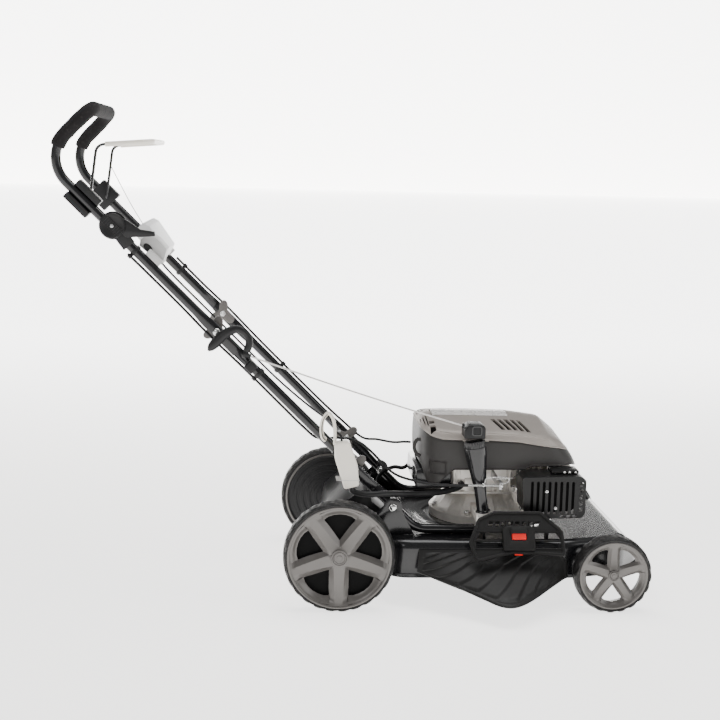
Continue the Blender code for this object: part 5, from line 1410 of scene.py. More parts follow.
@dataclass
class Casing:
    """Engine's casing: a crowned grey cover with its panel, louvres and comb over a dark skirt."""

    back: float = 0.195
    seam_front: float = 0.558
    front: float = 0.58
    half: float = 0.15
    squareness: float = 5.0
    wall: float = 0.0025
    sink: float = 0.0046
    fall: float = 0.6
    flat: float = 0.14
    steps: int = 460
    edge: tuple[Spot, ...] = ((0.2, 0.303), (0.212, 0.262), (0.24, 0.262), (0.272, 0.297), (0.44, 0.299),
                              (0.46, 0.307), (0.56, 0.306), (0.58, 0.298))
    seam: tuple[Spot, ...] = ((0.2, 0.386), (0.22, 0.374), (0.245, 0.369), (0.35, 0.369), (0.426, 0.365),
                              (0.527, 0.347), (0.558, 0.336))
    top: tuple[Spot, ...] = ((0.2, 0.399), (0.215, 0.409), (0.24, 0.413), (0.42, 0.411), (0.4955, 0.402),
                             (0.533, 0.373), (0.558, 0.338))
    panel: tuple[float, float, float] = (0.23, 0.418, 0.041)

    def line(self, marks: tuple[Spot, ...], x: np.ndarray) -> np.ndarray:
        """Height of one of the casing's lines at x, its corners softened by a mean over 9 mm.

        Args:
            marks: the line's corners.
            x: where the height is asked for.

        Returns:
            The heights.
        """
        marks = np.array(marks)
        spread = np.linspace(-0.0045, 0.0045, 7)
        return np.mean([np.interp(x + s, marks[:, 0], marks[:, 1]) for s in spread], axis=0)

    def turns(self) -> np.ndarray:
        """Turns whose points are evenly spaced along the casing's plan."""
        fine = np.linspace(0.0, 2.0 * np.pi, 20001)
        x, y = self.plan(fine, self.back, self.seam_front, self.half)
        run = np.concatenate([[0.0], np.cumsum(np.hypot(np.diff(x), np.diff(y)))])
        return np.interp(np.linspace(0.0, run[-1], self.steps, endpoint=False), run, fine)

    def plan(self, turn: np.ndarray, back: np.ndarray | float, front: np.ndarray | float,
             half: np.ndarray | float) -> tuple[np.ndarray, np.ndarray]:
        """Superellipse: x as |cos|^(2/n) between back and front, y as half |sin|^(2/n).

        Args:
            turn: angles round it.
            back: its lowest x.
            front: its highest x.
            half: half its width.

        Returns:
            The points' x and y.
        """
        c, s = np.cos(turn), np.sin(turn)
        power = np.where(c < 0.0, 2.0 / self.squareness, 2.0 / (self.squareness * 0.62))
        x = (front + back) / 2 + (front - back) / 2 * np.sign(c) * np.abs(c) ** power
        return x, half * np.sign(s) * np.abs(s) ** (2.0 / self.squareness)

    def crown(self, y: np.ndarray) -> np.ndarray:
        """Share of the cover's height left at y: 1 - fall (sqrt(ratio² + flat²) - flat)."""
        return 1.0 - self.fall * (np.hypot(y / self.half, self.flat) - self.flat)

    def window(self, value: np.ndarray, low: float, high: float, edge: float = 0.0022) -> np.ndarray:
        """1 between low and high, easing to 0 over an edge."""
        return eased(value, low, low + edge) * (1.0 - eased(value, high - edge, high))

    def dome(self, inset: float, sink: float) -> np.ndarray:
        """Rings that shrink and rise from the seam to near the middle of the top, their height scaled by
        the crown.

        Args:
            inset: how far inside the cover's plan they lie.
            sink: how far below its top they lie.

        Returns:
            The points as rings by turns by 3.
        """
        marks = through([(1.0, 0.0), (1.0, 0.1), (0.95, 0.76), (0.82, 0.94), (0.55, 1.0), (0.15, 1.0),
                         (0.05, 1.0)], 22)
        scale, share = np.minimum(marks[:, :1], 1.0), marks[:, 1:]
        centre = (self.back + self.seam_front) / 2
        rear, ahead, turns = centre - self.back - 0.002, self.seam_front - centre, self.turns()[None, :]
        x, y = self.plan(turns, centre - rear * scale, centre + ahead * scale, (self.half - 0.001) * scale)
        seam, top = self.line(self.seam, x) + GAP, self.line(self.top, x)
        high = (top - seam) * self.crown(y)
        z = seam + np.maximum(high - sink, (0.3 if sink else 1.0) * high) * share
        x = centre + (x - centre) * np.where(x < centre, 1.0 - inset / rear, 1.0 - inset / ahead)
        return np.stack([x, y * (1.0 - inset / self.half), z], axis=-1)

    def cover(self) -> Shape:
        """Closed wall between the outer dome, with a bead along the seam, two ledges on each flank and a
        sunk panel, and a plain inner one."""
        rows = self.dome(0.0, 0.0)
        x, y, z = (rows[..., k] for k in range(3))
        above = z - self.line(self.seam, x)
        bead = 0.0011 * bell(above - 0.0022, 0.0018)
        side = eased(np.abs(y), 0.1, 0.13)
        ledges = self.window(x, 0.214, 0.262, 0.006) + self.window(x, 0.344, 0.505, 0.008)
        line = bell(above - 0.0155, 0.0011) - 0.8 * bell(above - 0.018, 0.0012)
        out = bead - 0.0009 * line * ledges * side
        centre = (self.back + self.seam_front) / 2
        outward = unit(np.stack([(x - centre) / 0.18, y / self.half], axis=-1) ** 5)
        rows[..., 0] += out * outward[..., 0]
        rows[..., 1] += out * outward[..., 1]
        low, high, half = self.panel
        rows[..., 2] -= 0.003 * self.window(x, low, high) * self.window(y, -half, half)
        return skin(np.concatenate([rows, self.dome(self.wall, self.sink)[::-1]]), ring=True)

    def panel_sheet(self) -> Shape:
        """Panel that follows the top, its height a squared wave across y, closed below."""
        low, high, half = self.panel
        x = np.linspace(low + 0.0022, high - 0.0022, 90)[:, None] + np.zeros((1, 121))
        y = np.linspace(0.0022 - half, half - 0.0022, 121)[None, :] + np.zeros((90, 1))
        seam = self.line(self.seam, x)
        z = seam + (self.line(self.top, x) - seam) * self.crown(y)
        wave = 0.5 + 0.5 * np.tanh(4.0 * np.sin(2.0 * np.pi * y / 0.0152))
        outer = np.stack([x, y, z - 0.0022 + 0.0026 * wave], axis=-1)
        return skin(np.concatenate([outer, (outer - (0.0, 0.0, 0.0022))[:, ::-1]], axis=1))

    def louvres(self) -> list[Shape]:
        """Slots to cut: five slanted louvres on each side, the comb at the rear and two short bars."""
        slots = []
        for side in Side:
            s = side.value
            for k in range(5):
                shift = 0.0153 * k
                plan = [(0.368 + shift, s * 0.064), (0.3785 + shift, s * 0.064), (0.3967 + shift, s * 0.126),
                        (0.3862 + shift, s * 0.126)]
                slots.append(prism(closed(plan, 0.0016, 3), 0.36, 0.44, Plane.XY))
            low, high = sorted((s * 0.03, s * 0.112))
            for x in (0.2015, 0.2077, 0.2139):
                slots.append(block((x, low, 0.392), (x + 0.0032, high, 0.43)))
            for near, far in ((0.074, 0.092), (0.104, 0.128)):
                low, high = sorted((s * near, s * far))
                slots.append(block((0.2185, low, 0.37), (0.2315, high, 0.43)))
        return slots

    def skirt(self) -> Shape:
        """Wall between the lower edge and the seam, fullest above its middle, with a flange at its foot, a
        groove under the seam and a sunk corner panel on the right."""
        v = np.linspace(0.0, 1.0, 44)[:, None]
        back = self.back + 0.002 * (2.0 * v - 1.0) ** 2
        front = self.front - 0.018 * v - 0.004 * v ** 2
        half = self.half - 0.003 + 0.01 * v - 0.008 * v ** 2
        x, y = self.plan(self.turns()[None, :], back, front, half)
        low, high = self.line(self.edge, x), self.line(self.seam, x)
        z = low + (high - low) * v
        sunk = self.window(x, 0.216, 0.256, 0.003) * self.window(z, 0.2845, 0.3165, 0.003) * (y < 0.0)
        foot = 0.0016 * bell(z - low - 0.0012, 0.0022) * (v > 0.001)
        out = foot - 0.0045 * sunk - 0.0012 * eased(v, 0.965, 0.985)
        y = y + np.sign(y) * out * eased(np.abs(y), 0.1, 0.14)
        return skin(np.stack([x, y, z], axis=-1), caps=False)

    def build(self) -> None:
        """Makes the cover, its panel, the skirt, the rope's outlet and the trim."""
        Piece("engine_cover_shell", self.cover(), COVER, "chassis", ("upper_cover",),
              [total(self.louvres())], sharp=32.0).build()
        Piece("engine_cover_panel", self.panel_sheet(), PANEL, sharp=40.0).build()
        Piece("engine_skirt", self.skirt(), SHROUD, "chassis", ("lower_shroud",), wall=self.wall,
              sharp=34.0).build()
        outlet = closed([(0.288, 0.383), (0.337, 0.383), (0.337, 0.415), (0.298, 0.415), (0.288, 0.403)],
                        [0.003, 0.003, 0.01, 0.009, 0.008], 7)
        eye = rod((0.2845, -0.1737, 0.4102), (0.29, -0.1737, 0.4092), 0.006, 28, 0.0015)
        Piece("rope_outlet_block", prism(outlet, -0.198, -0.146), PLASTIC, bevel=0.006, segments=4,
              sharp=50.0).build()
        Piece("rope_outlet_eye", eye, GLOSS_PLASTIC).build()
        cheek = closed([(0.3045, 0.39), (0.3285, 0.39), (0.3285, 0.413), (0.3045, 0.413)], 0.006, 6)
        Piece("rope_outlet_cheek", band(cheek, shrunk(cheek, 0.003), -0.1995, -0.1975), GLOSS_PLASTIC).build()
        tab = block((0.2915, -0.1512, 0.3668), (0.3535, -0.145, 0.3718))
        Piece("engine_cover_tab", tab, COVER, bevel=0.0016, segments=3).build()
        loop = through([(0.1955, -0.118, 0.364), (0.186, -0.121, 0.363), (0.18, -0.123, 0.347),
                        (0.186, -0.122, 0.331), (0.196, -0.12, 0.324)], 8)
        Piece("engine_rear_loop", tube(loop, 0.002, 16, 2.2), SHROUD, sharp=60.0).build()


@dataclass
class EngineCore:
    """Cast base, crankcase, silencer, oil filler and the throttle's linkage."""

    crank: Spot = (0.36, 0.0)
    base: float = 0.124
    filler_y: float = -0.178
    control_y: float = -0.2035
    control_z: float = 0.2745
    slots: int = 8

    def build(self) -> None:
        """Makes the engine's pieces."""
        self._base()
        self._case()
        self._muffler()
        self._filler()
        self._linkage()

    def _base(self) -> None:
        """Bowl turned about the crank, its radius raised by narrow ribs |cos 9a|^16, with bolts on its
        flange and the filler's boss."""
        profile = [(0.0135, 0.225), (0.072, 0.225), (0.082, 0.222), (0.09, 0.215), (0.0965, 0.205),
                   (0.104, 0.1945), (0.112, 0.185), (0.117, 0.1785), (0.1222, 0.1762), (self.base, 0.1745),
                   (self.base, 0.155), (0.1234, 0.1543), (0.0135, 0.1543)]
        bowl = turned(profile, 432, ring=True)
        points = bowl.points.copy()
        turn = np.arctan2(points[:, 1], points[:, 0])
        inside = (points[:, 2] > 0.178) & (points[:, 2] < 0.223)
        points[:, :2] *= (1.0 + np.where(inside, 0.016 * np.abs(np.cos(9.0 * turn)) ** 16, 0.0))[:, None]
        bowl = Shape(points, bowl.faces).moved(Matrix.Translation((*self.crank, 0.0)))
        boss = block((0.322, -0.195, 0.182), (0.359, -0.085, 0.2047))
        Piece("engine_base_bowl", bowl, ALLOY, "chassis", ("engine_base",), sharp=34.0).build()
        Piece("engine_base_boss", boss, ALLOY, bevel=0.004, segments=3).build()
        turns = np.radians([-113.0, -74.0, -36.0, 10.0, 55.0, 100.0, 145.0, 190.0])
        spots = [(self.crank[0] + 0.1135 * math.cos(a), 0.1135 * math.sin(a)) for a in turns]
        lugs = [rod((x, y, 0.17), (x, y, 0.183), 0.0088, 28, 0.001) for x, y in spots]
        Piece("engine_base_lugs", total(lugs), ALLOY).build()
        bolts = [hex_bolt((x, y, 0.1828), (0.0, 0.0, 1.0)) for x, y in spots]
        Piece("engine_base_bolts", total(bolts), STEEL).build()

    def _case(self) -> None:
        """Crankcase with its parting flange, wall ribs and bosses, and the cylinder with its fins."""
        core = block((0.276, -0.088, 0.2254), (0.424, 0.088, 0.302))
        cylinder = block((0.4, -0.042, 0.2255), (0.545, 0.042, 0.284))
        Piece("crankcase_block", core, ALLOY, "chassis", ("crankcase",), bevel=0.01, segments=4).build()
        Piece("cylinder_block", cylinder, ALLOY, bevel=0.004).build()
        fins = [block((0.446 + 0.0165 * k, -0.06, 0.2256), (0.4495 + 0.0165 * k, 0.06, 0.294))
                for k in range(6)]
        Piece("cylinder_fins", total(fins), ALLOY, bevel=0.001).build()
        flange = closed([(0.268, -0.094), (0.432, -0.094), (0.432, 0.094), (0.268, 0.094)], 0.016, 8)
        Piece("crankcase_flange", prism(flange, 0.2252, 0.2316, Plane.XY), ALLOY, bevel=0.0014).build()
        ribs = [block((x, -0.0925, 0.23), (x + w, -0.08, top)) for x, w, top in (
            (0.286, 0.0035, 0.3), (0.2945, 0.003, 0.3), (0.308, 0.021, 0.262), (0.3345, 0.003, 0.298),
            (0.356, 0.003, 0.298), (0.377, 0.003, 0.298), (0.406, 0.004, 0.299), (0.416, 0.0035, 0.299))]
        Piece("crankcase_ribs", total(ribs), ALLOY, bevel=0.001).build()
        y, spots = -0.0905, ((0.274, 0.246), (0.392, 0.25), (0.426, 0.244))
        bosses = [rod((x, y, 0.231), (x, y, top), 0.0072, 28, 0.001) for x, top in spots]
        Piece("crankcase_bosses", total(bosses), ALLOY).build()
        bolts = [hex_bolt((x, y, top - 0.0005), (0.0, 0.0, 1.0), 0.0085, 0.0045, 0.0066)
                 for x, top in spots]
        Piece("crankcase_bolts", total(bolts), STEEL).build()

    def _muffler(self) -> None:
        """Silencer's can inside a bent guard with slots and a perforated end."""
        outline = closed([(0.4265, 0.2925), (0.566, 0.2962), (0.5778, 0.2872), (0.5782, 0.2065),
                          (0.57, 0.1968), (0.452, 0.194), (0.4322, 0.212)],
                         [0.007, 0.01, 0.01, 0.01, 0.008, 0.012, 0.012], 5)
        cuts = []
        for k in range(self.slots):
            x = 0.4475 + 0.0138 * k
            slot = closed([(x, 0.2065), (x + 0.0066, 0.2065), (x + 0.0066, 0.2835), (x, 0.2835)], 0.003, 4)
            cuts.append(prism(slot, -0.21, -0.19))
        for k in range(5):
            z = 0.2125 + 0.015 * k
            hole = closed([(0.5625, z), (0.5715, z), (0.5715, z + 0.0095), (0.5625, z + 0.0095)], 0.003, 4)
            cuts.append(prism(hole, -0.21, -0.19))
            cuts.append(block((0.57, -0.185, z), (0.59, -0.15, z + 0.0095)))
        for x in (0.519, 0.5335, 0.548):
            cuts.append(block((x, -0.189, 0.185), (x + 0.0095, -0.15, 0.2)))
            edge = closed([(x, 0.1985), (x + 0.0095, 0.1985), (x + 0.0095, 0.204), (x, 0.204)], 0.002, 3)
            cuts.append(prism(edge, -0.21, -0.191))
        inside = prism(shrunk(outline, -0.0018), -0.1982, -0.1)
        Piece("muffler_guard", prism(outline, -0.2, -0.118), MUFFLER, "chassis", ("muffler",),
              [inside, total(cuts)], sharp=28.0).build()
        can = prism(closed([(0.44, 0.287), (0.556, 0.288), (0.556, 0.21), (0.445, 0.206)], 0.016, 7),
                    -0.1925, -0.124)
        Piece("muffler_can", can, HOLLOW, bevel=0.006, segments=3).build()
        Piece("muffler_port", block((0.47, -0.126, 0.232), (0.52, -0.0603, 0.268)), MUFFLER,
              bevel=0.002).build()
        heads = [domed_head((x, -0.1998, z), (0.0, -1.0, 0.0), r, 0.004) for x, z, r in
                 ((0.4851, 0.2597, 0.0046), (0.5068, 0.2194, 0.0046), (0.453, 0.2005, 0.0028))]
        Piece("muffler_bolts", total(heads), STEEL).build()
        bracket = closed([(0.5, 0.296), (0.565, 0.2975), (0.565, 0.3045), (0.5, 0.3045)], 0.002, 3)
        Piece("muffler_bracket", prism(bracket, -0.175, -0.128), MUFFLER, bevel=0.001).build()
        studs = [rod((x, -0.174, z), (x, -0.179, z), 0.003, 20, 0.0006) for x, z in
                 ((0.53, 0.3008), (0.542, 0.3012), (0.556, 0.301))]
        Piece("muffler_studs", total(studs), STEEL).build()

    def _filler(self) -> None:
        """Wide filler funnel turned about its tilted axis, its foot's collar and the ridged cap."""
        foot, mouth = Vector((0.3405, self.filler_y, 0.205)), Vector((0.3165, self.filler_y, 0.36))
        place = place_along(foot, mouth - foot)
        run = (mouth - foot).length
        radii = through([(0.014, 0.002), (0.014, 0.036), (0.0152, 0.062), (0.0184, 0.088), (0.0222, 0.114),
                         (0.025, 0.136), (0.0258, run - 0.005), (0.0258, run)], 5)
        profile = np.vstack([[[0.0, 0.002]], radii, [[0.0, run]]])
        Piece("oil_filler_funnel", turned(profile, 64, place), GLOSS_PLASTIC, "chassis", ("oil_filler_tube",),
              sharp=50.0).build()
        collar = [(0.0142, 0.0005), (0.0175, 0.0005), (0.0175, 0.004), (0.016, 0.0055), (0.0142, 0.0055)]
        Piece("oil_filler_collar", turned(collar, 48, place, True), GLOSS_PLASTIC).build()
        cap = [(0.0, 0.0003), (0.0246, 0.0003), (0.025, 0.0012), (0.025, 0.0125), (0.024, 0.0148),
               (0.021, 0.0165), (0.013, 0.017), (0.0, 0.017)]
        top = Matrix.Translation((mouth - foot).normalized() * run) @ place
        Piece("dipstick_ridged_cap", ridged(cap, 144, top, 24, 0.05, 0.001, 0.0145), GLOSS_PLASTIC,
              "dipstick", ("dipstick_cap",), sharp=40.0).build()

    def _linkage(self) -> None:
        """Cable's ferrule, its threaded adjuster and nut, the bent wire loop, the spring and the arm."""
        y, z = self.control_y, self.control_z
        Piece("control_ferrule", rod((0.254, y, z), (0.3, y, z), 0.0034, 24, 0.0008), PLASTIC).build()
        turn = np.linspace(0.298, 0.372, 371)
        thread = tube(np.stack([turn, np.full_like(turn, y), np.full_like(turn, z)], axis=1),
                      0.0031 + 0.0004 * np.sin(2 * np.pi * turn / 0.0016), 20)
        nut = hex_bolt((0.333, y, z), (1.0, 0.0, 0.0), 0.011, 0.005, 0.0074)
        second = hex_bolt((0.379, y, z), (-1.0, 0.0, 0.0), 0.011, 0.005, 0.0074)
        Piece("control_adjuster", thread + nut + second, STEEL, sharp=60.0).build()
        arm = [(0.372, -0.2068), (0.378, -0.2068), (0.378, -0.086), (0.372, -0.086)]
        Piece("control_arm", prism(arm, 0.2655, 0.2835, Plane.XY), BLADE_STEEL, bevel=0.0008).build()
        high = through([(0.338, y, z + 0.004), (0.341, y, 0.2905), (0.356, y, 0.293), (0.374, y, 0.2945),
                        (0.3935, y, 0.2915), (0.39, y, 0.282), (0.378, y, z + 0.003)], 8)
        Piece("control_wire_loop", tube(high, 0.0009, 12), STEEL, sharp=60.0).build()
        spring = coil((0.364, y - 0.001, 0.2912), (0.389, y - 0.001, 0.2925), 0.0032, 0.0006, 11)
        Piece("control_spring", spring, STEEL, sharp=60.0).build()
        wire = through([(0.3935, y, 0.2915), (0.406, y + 0.004, 0.2935), (0.43, y + 0.06, 0.293),
                        (0.444, y + 0.142, 0.29)], 8)
        Piece("control_thin_wire", tube(wire, 0.0006, 10), STEEL, sharp=60.0).build()


@dataclass
class SideDischarge:
    """Sprung side flap with its raised rim, comb and slots, the latch, and the ribbed chute."""

    pin: Spot = PIN_LINE
    down: Spot = (-0.586, -0.81)
    stand: float = 0.0125
    seat_y: float = -0.2479
    frame: tuple[Spot, ...] = ((0.311, 0.106), (0.294, 0.06), (0.3185, 0.001), (0.356, -0.0165),
                               (0.466, -0.017), (0.514, 0.03), (0.5165, 0.0915), (0.47, 0.088),
                               (0.395, 0.085))

    def __post_init__(self) -> None:
        """Works out the flap's own axes: x, down the flap, and off its face."""
        dy, dz = self.down
        axes = Matrix(((1.0, 0.0, 0.0), (0.0, dy, dz), (0.0, dz, -dy))).transposed().to_4x4()
        self.place = Matrix.Translation((0.0, *self.pin)) @ axes

    def slab(self, outline: np.ndarray | list[Spot], low: float, high: float) -> Shape:
        """Outline given as x and distance down the flap, from low to high off its pin's plane."""
        return prism(outline, low, high, Plane.XY).moved(self.place)

    def build(self) -> None:
        """Makes the flap, the latch, the springs and the chute."""
        body = body_of_node("side_flap")
        outline = closed(list(self.frame), [0.01, 0.014, 0.012, 0.01, 0.01, 0.014, 0.01, 0.02, 0.02], 6)
        inside = shrunk(outline, 0.0068)
        cuts = []
        for s, e in ((0.311, 0.3725), (0.448, 0.5075)):
            left = s < 0.4
            upper = [(s + 0.01 * left, 0.0345), (e - 0.01 * (not left), 0.0345), (e, 0.0515), (s, 0.0515)]
            lower = [(s, 0.056), (e, 0.056), (e, 0.071), (s, 0.071)]
            cuts += [self.slab(closed(p, 0.0016, 3), -0.01, 0.03) for p in (upper, lower)]
        for k in range(8):
            x = 0.344 + 0.0154 * k
            tooth = [(x, 0.007), (x + 0.0105, 0.007), (x + 0.007, 0.02), (x - 0.0035, 0.02)]
            cuts.append(self.slab(closed(tooth, 0.001, 3), -0.01, 0.03))
        well = closed([(0.3932, 0.0292), (0.4268, 0.0292), (0.4268, 0.0548), (0.3932, 0.0548)], 0.0015, 3)
        cuts.append(self.slab(well, -0.01, 0.03))
        Piece("side_flap_plate", self.slab(outline, 0.008, 0.0108), FLAP_PLASTIC, body, (),
              [total(cuts)]).build()
        rim = band(outline, inside, 0.0074, self.stand + 0.0012, Plane.XY).moved(self.place)
        Piece("side_flap_rim", rim, FLAP_PLASTIC, body, ("side_flap",), bevel=0.0011, segments=2).build()
        ribs = []
        for s, e in ((0.308, 0.3745), (0.446, 0.512)):
            for v in (0.0317, 0.0537, 0.0733):
                ribs.append(self.slab([(s, v - 0.0012), (e, v - 0.0012), (e, v + 0.0012), (s, v + 0.0012)],
                                      0.009, 0.013))
        Piece("side_flap_ribs", total(ribs), FLAP_PLASTIC, body, bevel=0.0006).build()
        house = closed([(0.3735, 0.079), (0.3735, 0.0205), (0.447, 0.0205), (0.445, 0.079)],
                       [0.003, 0.012, 0.012, 0.003], 6)
        Piece("side_flap_latch_housing", self.slab(house, 0.0076, 0.0186), FLAP_PLASTIC, body, (),
              [self.slab(well, 0.0085, 0.03)], bevel=0.0014, segments=3).build()
        hood = self.slab(closed([(0.3915, 0.0405), (0.3915, 0.027), (0.4285, 0.027), (0.4285, 0.0405)],
                                [0.001, 0.005, 0.005, 0.001], 5), 0.018, 0.0232)
        Piece("side_flap_latch_hood", hood, FLAP_PLASTIC, body, bevel=0.0012, segments=3).build()
        softened("latch_button", RED, 0.0012)
        catch = self.slab([(0.399, 0.08), (0.417, 0.08), (0.417, 0.088), (0.399, 0.088)], 0.006, 0.01)
        Piece("side_flap_catch", catch, RED, body, bevel=0.0008).build()
        y, z = self.pin
        barrels = []
        for start, end in ((0.345, 0.372), (0.398, 0.426), (0.452, 0.479)):
            barrel = [(0.0033, 0.0), (0.009, 0.0), (0.0092, 0.0004), (0.0092, end - start - 0.0004),
                      (0.009, end - start), (0.0033, end - start)]
            barrels.append(turned(barrel, 40, place_along((start, y, z), (1.0, 0.0, 0.0)), True))
        Piece("side_flap_knuckles", total(barrels), FLAP_PLASTIC, body).build()
        springs = [coil((a, y, z), (b, y, z), 0.0052, 0.0009, 7) for a, b in ((0.374, 0.383), (0.428, 0.437))]
        Piece("side_flap_springs", total(springs), BLADE_STEEL, sharp=60.0).build()
        self._chute()

    def _chute(self) -> None:
        """Chute's sheet: each of three lines across is a smooth curve, the sheet between them a
        parabola, its thickness raised by slanted ridges (a sawtooth of x and the way down)."""
        lines = [[(0.185, 0.0, 0.134), (0.3, 0.0, 0.134), (0.42, 0.0, 0.134), (0.505, 0.0, 0.134)],
                 [(0.182, 0.0091, 0.112), (0.3, 0.0251, 0.108), (0.41, 0.0291, 0.106),
                  (0.527, 0.0091, 0.108)],
                 [(0.18, 0.0151, 0.085), (0.29, 0.0831, 0.06), (0.385, 0.1461, 0.047),
                  (0.527, 0.0171, 0.075)]]
        curves = [evenly(through(marks, 40), 181)[0] for marks in lines]
        t = np.linspace(0.0, 1.0, 61)[:, None, None]
        a, b, c = (curve[None] for curve in curves)
        sheet = np.where(t < 0.5, a + (b - a) * 2 * t, b + (c - b) * (2 * t - 1))
        smooth = 2 * (t - 0.5) * (t - 1) * a + 4 * t * (1 - t) * b + 2 * t * (t - 0.5) * c
        sheet = 0.75 * sheet + 0.25 * smooth
        across = np.linspace(0.0, 1.0, 181)[None, :]
        down = t[..., 0]
        phase = (across * 8.6 + down * 4.2) % 1.0
        ridge = 0.0036 * np.where(phase < 0.9, phase / 0.9, (1.0 - phase) / 0.1)
        inside = eased(down, 0.1, 0.22) * (1.0 - eased(down, 0.9, 0.95)) * eased(across, 0.02, 0.06)
        inside = inside * (1.0 - eased(across, 0.88, 0.94))
        hem = 0.0022 * bell(down - 0.975, 0.018) + 0.002 * bell(across - 0.985, 0.01)
        normal = unit(np.cross(np.gradient(sheet, axis=1), np.gradient(sheet, axis=0)))
        normal = np.where(normal[..., 1:2] > 0.0, normal, -normal)
        out = (ridge * inside + hem)[..., None]
        front = sheet + normal * (0.0013 + out)
        back = sheet - normal * 0.0013
        for side in (front, back):
            side[..., 1] = self.seat_y - side[..., 1]
        shape = skin(np.concatenate([front, back[:, ::-1]], axis=1))
        Piece("side_chute_sheet", shape, FLAP_PLASTIC, "chassis", ("side_chute",), sharp=34.0).build()


